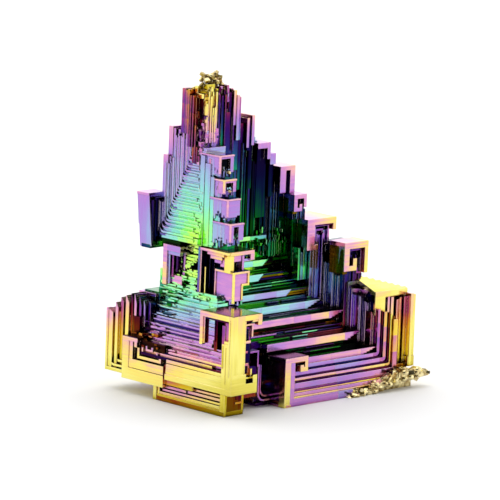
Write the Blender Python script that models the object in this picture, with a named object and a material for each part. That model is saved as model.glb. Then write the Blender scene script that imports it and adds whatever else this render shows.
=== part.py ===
"""A bismuth hopper crystal, grown as one piece: a stepped tower of nested square frames.

The crystal's own axes are the model's axes. The front edge stands at the meeting of the left face,
which looks along -X, and the right face, which looks along -Y. The right face is a deep stepped
hollow, and the left face climbs in fine terraces. The numbers below are millimetres, counted from
the foot of the front edge; build() moves the finished solid to the model's origin, the middle of
the underside.
"""

import random

import bmesh
import bpy
from mathutils import Matrix, Vector

MM = 0.001
GRID = 0.05
CRUST_SEED = 7
CRUST_LUMPS = 20
FRAME_DEPTH = 1.6  # how far a rim stands out of what it frames

# Height, then where the four faces of the solid heart stand there: left, right, far right, far left.
HEART = (
    (0.0, 8.0, 6.5, 45.0, 27.0),
    (4.4, 0.1, 6.6, 46.0, 28.0),
    (8.6, 0.6, 6.7, 45.5, 27.8),
    (11.8, 2.0, 6.8, 44.5, 27.4),
    (15.6, 3.8, 7.0, 42.5, 26.9),
    (20.2, 6.2, 11.5, 40.0, 25.8),
    (25.4, 6.9, 16.5, 35.5, 25.2),
    (28.8, 7.2, 18.6, 32.5, 24.9),
    (38.0, 7.6, 18.9, 26.0, 23.6),
    (48.0, 8.4, 18.4, 19.5, 22.4),
    (58.5, 9.0, 17.6, 14.0, 21.0),
)
HEART_FOOT = 3.4
TERRACES = (
    4.4, 6.3, 8.6, 9.8, 11.8, 12.9, 14.1, 15.6, 17.4, 18.8, 20.2, 21.8, 23.3, 25.4, 27.2, 28.8,
    31.2, 34.0, 37.5, 41.0, 44.5, 48.0, 51.5, 55.0, 58.5,
)

# The right wall of the hollow: left side, front, top. Each is a slab that runs back into the heart.
RIGHT_WALL = (
    (42.2, 2.4, 17.6),
    (41.2, 3.4, 18.2),
    (40.3, 4.6, 19.0),
    (38.9, 6.8, 22.6),
    (38.0, 8.2, 23.0),
    (37.0, 9.6, 24.5),
    (36.0, 11.3, 27.0),
    (34.9, 13.6, 28.6),
    (33.4, 15.2, 30.0),
    (31.9, 16.6, 31.2),
    (29.6, 17.4, 35.0),
    (27.6, 17.9, 39.0),
    (25.2, 18.1, 42.0),
    (22.6, 17.6, 46.0),
    (19.8, 17.0, 49.5),
    (17.6, 16.6, 52.0),
)
WALL_THICKNESS = 4.6


def snapped(value):
    """The value on a fine grid, so that faces either share a plane or stand clear of each other."""
    return round(value / GRID) * GRID


def block(bm, x, y, z):
    """A cuboid between two values of x, of y and of z."""
    spans = [(snapped(low), snapped(high)) for low, high in (x, y, z)]
    for vert in bmesh.ops.create_cube(bm, size=1.0)["verts"]:
        vert.co = [span[1] if side > 0 else span[0] for span, side in zip(spans, vert.co)]


def facing_block(bm, facing, along, into, z):
    """A cuboid on a face that looks along an axis: along runs across the face, into runs inwards."""
    if facing in ("-Y", "+Y"):
        block(bm, along, into, z)
    else:
        block(bm, into, along, z)


def arch(bm, facing, span, plane, top, bar, near_leg, far_leg, curl=None, depth=FRAME_DEPTH):
    """A square rim over a recess: a bar with two hanging legs, each (width, drop).

    near_leg is at the low end of the span. A curl (leg, reach, rise, width) turns in from the foot
    of one leg and stands up again inside it, the hook that hopper growth leaves.
    """
    into = (plane, plane + depth) if facing in ("-X", "-Y") else (plane - depth, plane)
    facing_block(bm, facing, span, into, (top - bar, top))
    near_width, near_drop = near_leg
    far_width, far_drop = far_leg
    facing_block(bm, facing, (span[0], span[0] + near_width), into, (top - near_drop, top))
    facing_block(bm, facing, (span[1] - far_width, span[1]), into, (top - far_drop, top))
    if not curl:
        return
    leg, reach, rise, width = curl
    if leg == "near":
        foot = top - near_drop
        run = (span[0], span[0] + reach)
        tip = (run[1] - width, run[1])
    else:
        foot = top - far_drop
        run = (span[1] - reach, span[1])
        tip = (run[0], run[0] + width)
    facing_block(bm, facing, run, into, (foot, foot + width))
    facing_block(bm, facing, tip, into, (foot, foot + rise))


def heart_at(z):
    """The four faces of the heart at a height, read between the rows of HEART."""
    for low, high in zip(HEART, HEART[1:]):
        if z <= high[0]:
            share = (z - low[0]) / (high[0] - low[0])
            return [a + share * (b - a) for a, b in zip(low[1:], high[1:])]
    return HEART[-1][1:]


def heart(bm):
    """The stepped body: one cuboid for each terrace, each smaller and taller than the last."""
    left, right, far_right, far_left = HEART[0][1:]
    block(bm, (left, far_right), (right, far_left), (0.0, HEART_FOOT + 0.5))
    for top in TERRACES:
        left, right, far_right, far_left = heart_at(top)
        block(bm, (left, far_right), (right, far_left), (HEART_FOOT, top))


def right_wall(bm):
    """The pleats that close the hollow on its right, each one deeper, further in and taller."""
    for left, front, top in RIGHT_WALL:
        far_left = heart_at(top)[3]
        block(bm, (left, left + WALL_THICKNESS), (front, far_left - 1.0), (HEART_FOOT + 0.6, top))


def front_foot(bm):
    """The small stepped foot under the front edge."""
    block(bm, (0.0, 5.1), (0.0, 19.8), (0.0, 1.9))
    block(bm, (0.0, 5.1), (0.0, 1.6), (0.0, 4.6))
    block(bm, (0.0, 5.1), (18.3, 19.8), (0.0, 4.6))
    block(bm, (0.5, 9.0), (0.8, 19.0), (0.3, 3.0))
    block(bm, (1.0, 9.0), (1.0, 18.6), (0.3, 4.6))


def first_frame(bm):
    """The lowest frame of the front edge: a post on a foot, under a wide square plate."""
    block(bm, (-0.5, 3.0), (-2.2, 0.6), (4.5, 19.8))
    block(bm, (-0.5, 7.2), (-2.2, 6.9), (18.6, 19.8))
    block(bm, (-0.5, 6.4), (-2.2, -0.8), (4.5, 7.0))
    block(bm, (5.2, 6.4), (-2.2, -0.9), (4.5, 8.0))
    block(bm, (-0.5, 5.6), (-2.2, 3.0), (4.5, 5.8))
    block(bm, (-0.5, 0.9), (5.7, 6.9), (13.2, 19.8))
    block(bm, (5.8, 7.2), (-2.2, -0.9), (17.6, 19.8))
    block(bm, (2.6, 5.0), (-1.8, -0.9), (14.2, 15.2))
    block(bm, (2.6, 3.6), (-1.7, 0.4), (8.6, 17.8))
    block(bm, (-0.5, 3.4), (-2.2, 16.2), (4.5, 8.4))
    for top in TERRACES:
        if 6.0 < top < 19.0:
            left = heart_at(top)[0]
            block(bm, (left, left + 2.3), (0.3 + 0.16 * top, 9.5), (4.5, top))


def second_frame(bm):
    """The next frame up the front edge, a plate on a neck that widens into a block below."""
    block(bm, (6.7, 12.9), (6.5, 14.7), (29.1, 30.2))
    block(bm, (6.0, 7.4), (13.9, 14.8), (19.5, 30.2))
    block(bm, (6.0, 6.9), (6.5, 14.8), (29.1, 30.2))
    block(bm, (6.7, 8.0), (6.5, 9.0), (19.5, 30.2))
    block(bm, (9.6, 10.8), (6.5, 8.5), (25.0, 30.2))
    block(bm, (7.2, 11.0), (6.0, 11.0), (20.6, 26.3))
    block(bm, (8.4, 10.4), (7.0, 13.0), (18.0, 29.5))


def edge_blocks(bm):
    """The smaller frames that climb the front edge, each a square cap with a hooked right face."""
    # Corner x and y, reach to the right and to the left, lower edge and top.
    steps = (
        (6.7, 6.9, 3.5, 4.9, 31.9, 35.6),
        (6.7, 7.9, 3.3, 4.9, 36.6, 40.2),
        (6.7, 9.3, 3.4, 4.8, 41.0, 43.8),
        (6.8, 10.5, 4.1, 5.0, 44.6, 48.3),
    )
    for x, y, right, left, foot, top in steps:
        block(bm, (x, x + 1.1), (y, y + left), (foot, top))
        block(bm, (x, x + right), (y, y + left), (top - 0.9, top))
        arch(bm, "-Y", (x, x + right), y, top, 0.8, (1.1, top - foot), (0.9, top - foot))
        block(bm, (x + 0.5, x + 2.4), (y + 1.2, 19.5), (foot - 3.0, top - 0.4))
    block(bm, (7.3, 9.4), (9.0, 19.5), (24.0, 47.0))


def right_posts(bm):
    """The hooked blocks that step down the right-hand skyline, outermost first."""
    # Outer corner: a tall pleated pillar under a wide plate.
    block(bm, (41.9, 50.9), (1.5, 6.8), (18.4, 19.5))
    arch(bm, "-Y", (41.9, 50.9), 1.5, 19.5, 1.1, (2.8, 4.6), (0.9, 2.4))
    block(bm, (41.9, 43.4), (1.9, 6.8), (15.0, 19.5))
    block(bm, (42.6, 51.0), (3.4, 9.0), (4.0, 19.0))
    for left, right, front, top in (
        (44.4, 45.6, 2.5, 18.0),
        (46.4, 48.0, 2.0, 18.2),
        (48.7, 49.9, 1.4, 17.8),
        (50.3, 51.8, -0.2, 18.6),
    ):
        block(bm, (left, right), (front, 9.0), (4.2, top))
    block(bm, (50.0, 51.8), (-0.2, 3.0), (4.0, 6.0))
    # Second corner, with the clearest hook.
    block(bm, (37.0, 43.6), (5.7, 9.9), (28.0, 29.1))
    arch(bm, "-Y", (37.0, 43.6), 5.7, 29.1, 1.3, (1.5, 5.6), (0.9, 6.3), ("near", 3.6, 2.4, 1.1))
    block(bm, (37.0, 38.2), (6.0, 9.9), (22.8, 29.1))
    block(bm, (38.6, 43.4), (7.4, 13.0), (12.0, 28.6))
    # Third corner.
    block(bm, (31.4, 39.3), (10.6, 18.1), (32.2, 33.5))
    arch(bm, "-Y", (31.4, 39.3), 10.6, 33.5, 1.2, (2.4, 6.0), (1.0, 6.3), ("near", 3.4, 1.2, 1.0))
    block(bm, (31.4, 33.0), (10.9, 18.1), (27.4, 33.5))
    block(bm, (33.4, 39.0), (12.2, 18.6), (16.0, 33.0))
    # Fourth corner, a small scroll.
    block(bm, (29.3, 32.7), (12.5, 18.5), (37.2, 38.4))
    arch(bm, "-Y", (29.3, 32.7), 12.5, 38.4, 0.9, (1.0, 3.3), (0.8, 2.8), ("near", 2.3, 1.5, 0.8))
    block(bm, (29.3, 30.6), (12.8, 18.5), (34.6, 38.4))
    block(bm, (30.2, 32.4), (14.0, 18.8), (24.0, 37.8))
    # Fifth corner, a tall narrow arch.
    block(bm, (27.1, 31.1), (14.4, 18.8), (43.0, 43.9))
    arch(bm, "-Y", (27.1, 31.1), 14.4, 43.9, 0.9, (1.7, 5.2), (1.4, 5.4))
    block(bm, (27.1, 28.2), (14.7, 18.8), (40.2, 43.9))
    block(bm, (28.0, 30.9), (15.9, 19.0), (30.0, 43.4))
    # The narrow columns that lead up to the tower.
    block(bm, (24.9, 26.4), (15.2, 19.0), (38.0, 46.6))
    block(bm, (21.3, 24.7), (15.0, 19.2), (47.0, 48.9))
    block(bm, (21.3, 22.4), (15.0, 19.2), (44.4, 48.9))
    block(bm, (23.8, 24.7), (15.0, 19.2), (44.0, 48.9))
    block(bm, (22.0, 24.5), (16.0, 19.4), (34.0, 48.2))
    block(bm, (18.8, 20.5), (15.4, 19.0), (40.0, 54.5))
    block(bm, (17.0, 18.2), (16.2, 19.0), (40.0, 53.0))
    block(bm, (13.2, 16.6), (15.6, 19.0), (44.0, 54.6))
    block(bm, (15.2, 16.4), (15.0, 18.6), (50.0, 58.8))


def front_right_block(bm):
    """The low hooked block at the front right, with the banded ledges that run back from it."""
    block(bm, (15.2, 21.3), (-1.0, 7.6), (8.7, 9.7))
    arch(bm, "-Y", (15.2, 21.3), -1.0, 9.7, 1.0, (2.0, 9.6), (0.8, 2.9), ("far", 2.0, 1.3, 0.9))
    block(bm, (15.2, 17.0), (-1.0, 8.2), (0.0, 1.1))
    block(bm, (15.7, 17.0), (-0.4, 8.8), (0.0, 2.1))
    block(bm, (15.2, 16.8), (-1.0, 0.2), (0.0, 9.7))
    block(bm, (15.7, 17.0), (-0.4, 1.2), (0.0, 9.4))
    block(bm, (16.3, 40.0), (1.0, 9.0), (0.0, 9.2))
    bands = (
        (15.4, 42.0, -1.0, 1.7), (15.9, 43.0, -0.6, 2.9), (16.4, 43.5, -0.2, 4.3),
        (17.0, 44.0, 0.2, 5.4), (17.6, 44.5, 0.6, 6.9), (18.6, 44.8, 1.0, 8.8),
        (17.8, 44.0, 2.4, 9.9), (17.9, 43.0, 4.0, 11.7), (14.8, 42.0, 5.6, 13.2),
    )
    for left, right, front, top in bands:
        block(bm, (left, right), (front, 9.6), (0.0, top))
    for step in range(3):
        block(bm, (6.0, 16.0), (3.2 + step, 9.0), (0.0, 1.2 + 1.3 * step))


def left_frame(bm):
    """The low frame of the left corner, with a hook nested in its mouth."""
    block(bm, (-0.5, 6.0), (16.7, 28.4), (2.8, 6.9))
    block(bm, (-0.5, 6.0), (25.6, 28.4), (2.8, 11.2))
    block(bm, (-0.5, 4.0), (24.0, 28.4), (10.0, 11.2))
    block(bm, (0.1, 3.0), (23.9, 24.8), (6.5, 10.0))
    block(bm, (0.1, 3.0), (20.6, 24.8), (6.5, 7.9))
    block(bm, (0.1, 3.0), (20.4, 21.3), (6.5, 9.2))


def left_pleats(bm):
    """The thin upright sheets of the left corner, their tops sloping up towards the heart."""
    # Front, low side, high side, lower edge and top.
    sheets = (
        (-0.3, 32.0, 33.3, 3.6, 15.8),
        (0.3, 30.6, 31.4, 4.0, 17.6),
        (0.8, 29.0, 30.1, 5.0, 18.8),
        (1.4, 27.2, 28.3, 10.0, 19.4),
        (2.0, 25.5, 26.5, 10.0, 19.0),
        (2.8, 23.9, 24.8, 10.0, 18.4),
    )
    for front, low, high, foot, top in sheets:
        block(bm, (front, 8.0), (low, high), (foot, top))
    block(bm, (0.8, 7.6), (26.0, 32.6), (3.8, 15.0))
    block(bm, (2.6, 7.2), (26.0, 31.4), (12.0, 18.2))
    block(bm, (5.0, 9.0), (23.7, 28.6), (12.0, 19.9))


def left_posts(bm):
    """The stepped posts of the left-hand skyline, and the small frame under the largest."""
    block(bm, (4.9, 8.0), (18.7, 19.6), (21.6, 29.5))
    block(bm, (4.9, 8.0), (22.4, 23.5), (21.6, 29.5))
    block(bm, (4.9, 8.0), (18.7, 23.5), (27.6, 29.5))
    block(bm, (5.6, 8.0), (18.7, 23.5), (21.6, 24.6))
    # The large hanging block: an outer post and the nested ledges that curve in from it.
    block(bm, (4.0, 8.4), (27.2, 30.3), (34.6, 38.9))
    block(bm, (4.0, 8.2), (26.9, 29.5), (31.4, 37.0))
    block(bm, (4.1, 8.0), (26.4, 28.7), (28.3, 35.0))
    for step in range(5):
        front = 4.5 + 0.55 * step
        side = 26.6 - 1.35 * step
        floor = 29.3 + 0.75 * step
        block(bm, (front, 9.5), (side - 0.7, side), (floor - 0.6, 38.2 + 0.2 * step))
        block(bm, (front, 9.5), (16.0, side - 0.3), (floor - 0.6, floor))
    block(bm, (7.4, 9.5), (19.5, 27.6), (29.6, 37.8))
    block(bm, (6.0, 9.5), (23.8, 25.5), (39.2, 46.7))
    block(bm, (6.4, 9.5), (22.4, 23.4), (36.0, 46.0))
    block(bm, (7.0, 9.5), (21.0, 22.0), (36.0, 46.8))
    block(bm, (6.5, 9.5), (23.0, 24.7), (45.8, 52.3))
    block(bm, (7.0, 9.5), (21.4, 22.4), (44.0, 51.8))


def tower(bm):
    """The fluted top of the tower."""
    block(bm, (7.4, 15.2), (16.4, 21.0), (46.0, 59.4))
    block(bm, (6.1, 8.6), (18.9, 21.0), (51.5, 60.4))
    block(bm, (6.9, 9.6), (17.4, 19.6), (50.0, 61.2))
    block(bm, (8.2, 10.6), (15.8, 18.6), (47.0, 61.8))
    block(bm, (11.6, 12.8), (15.6, 18.6), (49.0, 58.9))
    block(bm, (13.6, 15.2), (15.2, 18.6), (53.0, 59.8))


def far_post(bm, left, right, front, back, foot, top, drop):
    """A post at the far corner: a plate on a corner column, with hooked rims and pleats below it."""
    column = 1.9
    block(bm, (left, right), (front, back), (top - 1.1, top))
    block(bm, (right - column, right), (back - column, back), (foot, top))
    arch(bm, "+Y", (left, right), back, top, 1.2, (1.3, drop), (column, drop), ("near", 3.2, 2.0, 0.9))
    arch(bm, "+X", (front, back), right, top, 1.2, (1.2, drop - 1.0), (column, drop))
    block(bm, (left, right - 1.4), (front, back - 1.4), (foot, top - 0.6))
    block(bm, (left + 1.0, right - 1.9), (front, back - 0.8), (foot + 1.0, top - drop - 1.2))
    block(bm, (left, right - 0.8), (front + 1.5, back - 2.6), (foot + 0.6, top - drop - 0.7))


def far_side(bm):
    """The posts and rims of the two far faces, which are hollow between their corners."""
    # Left, right, front, back, lower edge, top, and how far the rims hang.
    far_post(bm, 43.4, 50.2, 25.0, 32.8, 3.8, 17.2, 6.0)
    far_post(bm, 37.0, 43.2, 24.0, 30.5, 8.0, 25.5, 5.2)
    far_post(bm, 31.2, 37.6, 22.8, 28.9, 12.0, 31.6, 5.6)
    far_post(bm, 25.6, 30.6, 21.8, 27.6, 16.0, 39.7, 4.6)
    far_post(bm, 20.4, 24.8, 21.2, 26.3, 20.0, 46.1, 4.2)
    far_post(bm, 15.1, 18.7, 20.4, 24.7, 24.0, 53.3, 3.8)
    # The banded sills under the two hollows.
    for step in range(4):
        inset = 0.9 * step
        rise = 4.9 + 1.35 * step
        block(bm, (3.0 + inset, 46.0), (26.0, 32.2 - inset), (3.9, rise))
        block(bm, (42.0, 49.4 - inset), (5.0, 27.0), (3.9, rise))
    for side in (9.6, 13.2, 14.6, 21.0, 29.4, 34.8):
        block(bm, (side, side + 0.9), (24.0, 30.2 - 0.02 * side), (5.0, 13.0 + 0.12 * side))
    for side in (8.0, 10.4, 15.2, 20.6, 22.8):
        block(bm, (42.0, 47.6), (side, side + 0.8), (5.0, 13.5 + 0.1 * side))


def lump(bm, centre, radius):
    """A small faceted ball, a little flattened."""
    place = Matrix.Translation(centre) @ Matrix.Diagonal((1.2, 1.0, 0.8, 1.0))
    bmesh.ops.create_icosphere(bm, subdivisions=1, radius=radius, matrix=place)


def crust(bm):
    """The lumpy skin of metal that froze under the right side, and the droplets on the tip."""
    chance = random.Random(CRUST_SEED)
    for step in range(CRUST_LUMPS):
        along = step / (CRUST_LUMPS - 1)
        centre = (
            33.0 + 20.4 * along,
            -1.3 - 0.7 * along + chance.uniform(-0.5, 0.7),
            0.9 + 1.9 * along + chance.uniform(-0.6, 0.9),
        )
        lump(bm, centre, chance.uniform(1.1, 1.9))
    block(bm, (33.0, 50.0), (-0.8, 4.0), (0.0, 4.4))
    for centre, radius in (
        ((10.2, 17.4, 62.0), 1.3), ((12.5, 18.3, 61.4), 1.5), ((11.2, 19.6, 62.6), 1.3),
        ((9.2, 19.4, 61.5), 1.2), ((13.6, 17.4, 60.6), 1.2), ((8.0, 18.6, 61.0), 0.9),
    ):
        lump(bm, centre, radius)


def crystal_mesh():
    """Every block of the crystal in one mesh, in metres, centred over the origin."""
    bm = bmesh.new()
    for part in (
        heart, right_wall, front_foot, first_frame, second_frame, edge_blocks, right_posts,
        front_right_block, left_frame, left_pleats, left_posts, tower, far_side, crust,
    ):
        part(bm)
    xs = [vert.co.x for vert in bm.verts]
    ys = [vert.co.y for vert in bm.verts]
    centre = Vector(((min(xs) + max(xs)) / 2, (min(ys) + max(ys)) / 2, 0.0))
    bmesh.ops.translate(bm, verts=bm.verts, vec=-centre)
    bmesh.ops.scale(bm, verts=bm.verts, vec=(MM, MM, MM))
    mesh = bpy.data.meshes.new("bismuth_crystal")
    bm.to_mesh(mesh)
    bm.free()
    return mesh


def ground_cutter():
    """The slab that cuts the underside flat, so that the crystal rests where it did."""
    bm = bmesh.new()
    block(bm, (-60.0, 60.0), (-60.0, 60.0), (-20.0, 0.0))
    bmesh.ops.scale(bm, verts=bm.verts, vec=(MM, MM, MM))
    mesh = bpy.data.meshes.new("ground_cutter")
    bm.to_mesh(mesh)
    bm.free()
    cutter = bpy.data.objects.new("ground_cutter", mesh)
    bpy.context.scene.collection.objects.link(cutter)
    cutter.hide_render = True
    cutter.display_type = "WIRE"
    return cutter


def oxide_metal():
    """Bismuth under its oxide film, in the mean of its gold, rose and violet."""
    material = bpy.data.materials.new("oxide_metal")
    material.use_nodes = True
    shader = material.node_tree.nodes["Principled BSDF"]
    shader.inputs["Base Color"].default_value = (0.62, 0.42, 0.55, 1.0)
    shader.inputs["Metallic"].default_value = 1.0
    shader.inputs["Roughness"].default_value = 0.22
    return material


def main():
    for old in list(bpy.data.objects):
        bpy.data.objects.remove(old)
    crystal = bpy.data.objects.new("bismuth_crystal", crystal_mesh())
    bpy.context.scene.collection.objects.link(crystal)
    crystal.data.materials.append(oxide_metal())
    join = crystal.modifiers.new("join_and_cut_flat", "BOOLEAN")
    join.operation = "DIFFERENCE"
    join.solver = "EXACT"
    join.use_self = True
    join.object = ground_cutter()
    tidy = crystal.modifiers.new("merge_flat_faces", "DECIMATE")
    tidy.decimate_type = "DISSOLVE"
    tidy.angle_limit = 0.002


main()
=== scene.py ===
"""The dressed bismuth crystal: its fine ledges, pleats and hooks, and its oxide colours.

The crystal is grown from cuboids in millimetres along its own axes, counted from the foot of the
front edge, as the frame's solid is. The left face looks along -X and the deeply hollowed right
face along -Y.
"""

import math
import random
from collections import namedtuple

import bmesh
import bpy
from mathutils import Matrix, Vector

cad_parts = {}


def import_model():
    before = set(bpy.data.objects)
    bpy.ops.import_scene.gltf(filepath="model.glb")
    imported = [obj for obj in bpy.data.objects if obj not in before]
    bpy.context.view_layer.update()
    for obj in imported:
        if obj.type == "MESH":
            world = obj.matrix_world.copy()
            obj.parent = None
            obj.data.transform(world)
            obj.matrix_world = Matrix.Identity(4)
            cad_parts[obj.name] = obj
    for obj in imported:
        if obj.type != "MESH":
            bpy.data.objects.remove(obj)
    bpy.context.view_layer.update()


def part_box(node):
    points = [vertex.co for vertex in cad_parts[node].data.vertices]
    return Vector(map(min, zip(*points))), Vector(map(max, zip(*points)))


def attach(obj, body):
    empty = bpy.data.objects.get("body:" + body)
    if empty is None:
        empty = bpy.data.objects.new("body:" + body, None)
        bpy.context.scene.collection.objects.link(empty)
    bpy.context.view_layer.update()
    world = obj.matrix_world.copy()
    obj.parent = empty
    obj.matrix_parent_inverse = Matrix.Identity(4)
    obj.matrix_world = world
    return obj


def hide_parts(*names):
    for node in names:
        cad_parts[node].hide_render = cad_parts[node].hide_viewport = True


MM = 0.001
SEED = 5
NODE = "bismuth_crystal"

# The crystal's outermost faces, which tie its own axes to the frame's.
LEFTMOST_FACE = -0.5
FARTHEST_LEFT_SHEET = 33.3

FRAME_DEPTH = 1.6  # how far a rim stands out of what it frames
TILT = 0.25  # degrees that growth strays from true
HEART_FOOT = 3.4
PLATE_SLOPE = 20
OVERLAP = 0.02  # how far lengths of one ledge or pleat run into each other
CLEARANCE = 0.02  # the least room between two blocks of one layer
LENGTH = 3  # about how far a ridge or pleat runs before its film changes
FACE_LENGTH = 2.4  # the same for a line across the left face
GROUND_SPAN = (-90, 120)
GROUND_FOOT = -30

# Height, then where the four faces of the heart stand there: left, right, far right, far left.
HEART = (
    (0, 8, 6.5, 45, 27),
    (4.4, 0.1, 6.6, 46, 28),
    (8.6, 0.6, 6.7, 45.5, 27.8),
    (11.8, 2, 6.8, 44.5, 27.4),
    (15.6, 3.8, 7, 42.5, 26.9),
    (20.2, 6.2, 11.5, 40, 25.8),
    (25.4, 6.9, 16.5, 35.5, 25.2),
    (28.8, 7.2, 18.6, 32.5, 24.9),
    (38, 7.6, 18.9, 26, 23.6),
    (48, 8.4, 18.4, 19.5, 22.4),
    (58.5, 9, 17.6, 14, 21),
)

# The right wall of the hollow: left side, front, top. Each is a sheet that runs back into the heart.
RIGHT_WALL = (
    (42.2, 2.4, 17.6), (41.2, 3.4, 18.2), (40.3, 4.6, 19), (38.9, 6.8, 22.6),
    (38, 8.2, 23), (37, 9.6, 24.5), (36, 11.3, 27), (34.9, 13.6, 28.6),
    (33.4, 15.2, 30), (31.9, 16.6, 31.2), (29.6, 17.4, 35), (27.6, 17.9, 39),
    (25.2, 18.1, 42), (22.6, 17.6, 46), (19.8, 17, 49.5), (17.6, 16.6, 52),
)

# The ledges across the hollow: front, top, left end, right end, height of the lip, steps of colour,
# and where the lip goes dull.
LEDGES = (
    (1, 8.8, 18.6, 41.9, 1.2, 5.2, 41.9),
    (4, 11.7, 15, 40.3, 1.5, 5.2, 40.3),
    (7, 15.6, 8, 38.7, 1.35, 5.1, 38.7),
    (9.5, 17.7, 8, 34.4, 1.5, 2.6, 34.4),
    (11.5, 20, 8, 35, 1.2, 3, 28.3),
    (14, 23.2, 8.4, 33.6, 1.3, 1.5, 23),
    (16.5, 25.4, 8.6, 31, 1.2, 0.9, 26.5),
    (18.4, 28.8, 9, 27.5, 1.4, 0.8, 27.5),
)

# The bands beside the front right block: left side, floor, right end, plane, thickness, steps of
# colour, painted shade, and how high the band turns up at its right end.
BANDS = (
    (16.3, 0, 34, -0.95, 1.55, 4.9, 0, 0),
    (16.5, 1.6, 40.5, -0.9, 0.3, 6.8, 0, 0),
    (16.7, 1.95, 41.5, -0.8, 0.6, 5.4, 0, 0),
    (16.9, 2.6, 43, -0.7, 0.25, 6.8, 0.1, 0),
    (17.1, 2.9, 44.6, -0.55, 0.35, 5.4, 0.5, 0),
    (17.3, 3.3, 46.6, -0.45, 1.1, 5, 0, 14),
    (17.6, 4.45, 45.8, -0.2, 0.3, 5.2, 1, 14.6),
    (17.9, 4.8, 45.4, -0.05, 0.5, 6.2, 0, 15),
    (18.1, 5.35, 44.8, 0.1, 0.3, 5, 1, 15.4),
    (18.3, 5.7, 44.2, 0.25, 0.8, 4.7, 0, 15.6),
    (18.6, 6.55, 43.2, 0.45, 0.3, 4.4, 1, 15.8),
    (18.8, 6.9, 42.7, 0.6, 0.7, 4.2, 0, 16.2),
)

# The frames up the front edge: corner x and y, reach right and left, lower edge, top, film, how
# wide the window in the right face is, and how wide the rim between it and the corner.
EDGE_BLOCKS = (
    (6.7, 6.9, 3.5, 4.9, 31.9, 35.6, 1.9, 1.3, 0.9),
    (6.7, 7.9, 3.3, 4.9, 36.6, 40.2, 1.6, 0, 2.5),
    (6.9, 9.3, 3.2, 4.4, 41, 43.8, 1.5, 1.9, 0.5),
    (6.8, 10.5, 3.6, 6.4, 44.6, 48.3, 0.3, 2.5, 0.3),
)

# The sheets of the left corner: front, low side, high side, lower edge, top, how far the top
# slopes down towards the low side, film, painted shade.
LEFT_SHEETS = (
    (-0.3, 31.6, 33.2, 3.6, 15.8, 0.6, 0.9, 0),
    (0, 30.5, 31.2, 4, 17.2, 0.9, 1.4, 0),
    (0.5, 29.5, 30.2, 4.4, 18.3, 0.8, 1.6, 0.3),
    (0.8, 28.3, 29.2, 5, 18.8, 1.2, 2.2, 0),
    (1.2, 27.6, 28.1, 6, 19.3, 1, 1.6, 0.9),
    (1.4, 26.8, 27.4, 9, 19.2, 1.6, 1.6, 0),
    (1.8, 25.9, 26.4, 10, 18.8, 1.6, 0.8, 0.3),
    (2.2, 25.2, 25.6, 10, 18.2, 1, 0.6, 0),
    (2.8, 24.3, 24.8, 10, 18, 0.2, 0.8, 0.5),
)

# The pleats of the outer corner's pillar: left, right, front, top, steps of colour and painted shade.
PILLAR_SHEETS = (
    (42.9, 43.4, 2.5, 15.6, 5, 0.2),
    (43.4, 43.9, 2.9, 17, 4.4, 0.6),
    (43.9, 44.5, 2.4, 17.4, 6.2, 0),
    (44.5, 44.8, 2.9, 18, 5.4, 0.9),
    (44.8, 45.4, 2.2, 18, 7, 0),
    (45.4, 45.9, 2.6, 17.6, 5.8, 0.5),
    (45.9, 46.5, 2, 18.2, 6.9, 0),
    (46.5, 46.7, 2.5, 17.6, 5.6, 0.9),
    (46.7, 47.4, 1.8, 18, 7.2, 0),
    (47.4, 47.9, 2.2, 18, 6.4, 0.2),
    (47.9, 48.2, 2.6, 17.6, 5.4, 0.9),
    (48.2, 48.8, 1.7, 17.4, 6.8, 0),
    (48.8, 49.3, 1.4, 17.8, 7.4, 0),
    (49.3, 49.6, 1.8, 17.4, 5.6, 0.8),
    (49.6, 50.3, 0.9, 18, 6.6, 0.2),
    (50.3, 51, -0.2, 18.6, 7.2, 0),
    (51, 51.8, 0, 18.4, 7.8, 0),
)

# The line the crust follows along the bottom right: x, y, z and half its height.
CRUST_PATH = (
    (32.8, -1.2, 0.2, 0.35), (35, -1.3, 0.5, 0.6), (38.2, -1.3, 0.9, 0.9), (41.6, -1.4, 1.7, 1.2),
    (44.8, -1.5, 2.7, 1.1), (47.6, -1.7, 3, 1.2), (50.6, -1.9, 2.8, 1.3), (53.3, -2.1, 2.6, 0.6),
)

# The steps of colour up the left face below its middle: height, steps.
LEFT_FACE_COLOURS = (
    (30, -0.4), (25, -0.3), (22, 0.9), (18, 2), (16.4, 2.9), (14.6, 4.3), (12, 5), (8, 6),
)

LOOKS = ("film", "upright", "bare", "deep")

# The film's colour depends on how far out it grew: millimetres from a point deep in the crystal.
FILM_CENTRE = (15, 20, 30)
FILM_CORE = 11.5
FILM_HEART = 8
FILM_STEP = 2.9
FILM_RIGHT_SHARE = 0.7
FILM_COLOURS = (
    (-1, (214, 250, 92)),
    (0, (184, 250, 112)),
    (0.9, (148, 243, 160)),
    (1.8, (142, 225, 208)),
    (2.6, (152, 188, 216)),
    (3.4, (160, 156, 212)),
    (4.3, (174, 130, 208)),
    (5.1, (202, 138, 202)),
    (5.8, (230, 166, 190)),
    (6.4, (242, 198, 148)),
    (7, (250, 226, 112)),
    (7.8, (247, 236, 132)),
    (8.7, (232, 218, 98)),
    (9.8, (214, 196, 84)),
)

# How finely growth lines and patches vary along each axis, in turns a millimetre, and how many
# steps of colour they change the film by.
LEVEL_LINES = (0.07, 0.07, 2.6)
UPRIGHT_LINES = (2.6, 2.6, 0.07)
LINES_SHARE = 2.2
PATCH_SCALE = 0.16
PATCHES_SHARE = 2

# Painted shade in corners, from ambient occlusion: how far it looks, where the shade begins and where it is
# full, and how much it darkens.
CORNER_REACH = 1.1 * MM
CORNER_LIGHT = 0.85
CORNER_DARK = 0.25
CORNER_DEPTH = 0.85
# How much painted shade strengthens and dims the film's colour.
SHADE_GAMMA = 3
SHADE_DIM = 0.6

# Rounded edges: the bevel radius, then the gain, share and colour of the highlight painted onto them.
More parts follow.
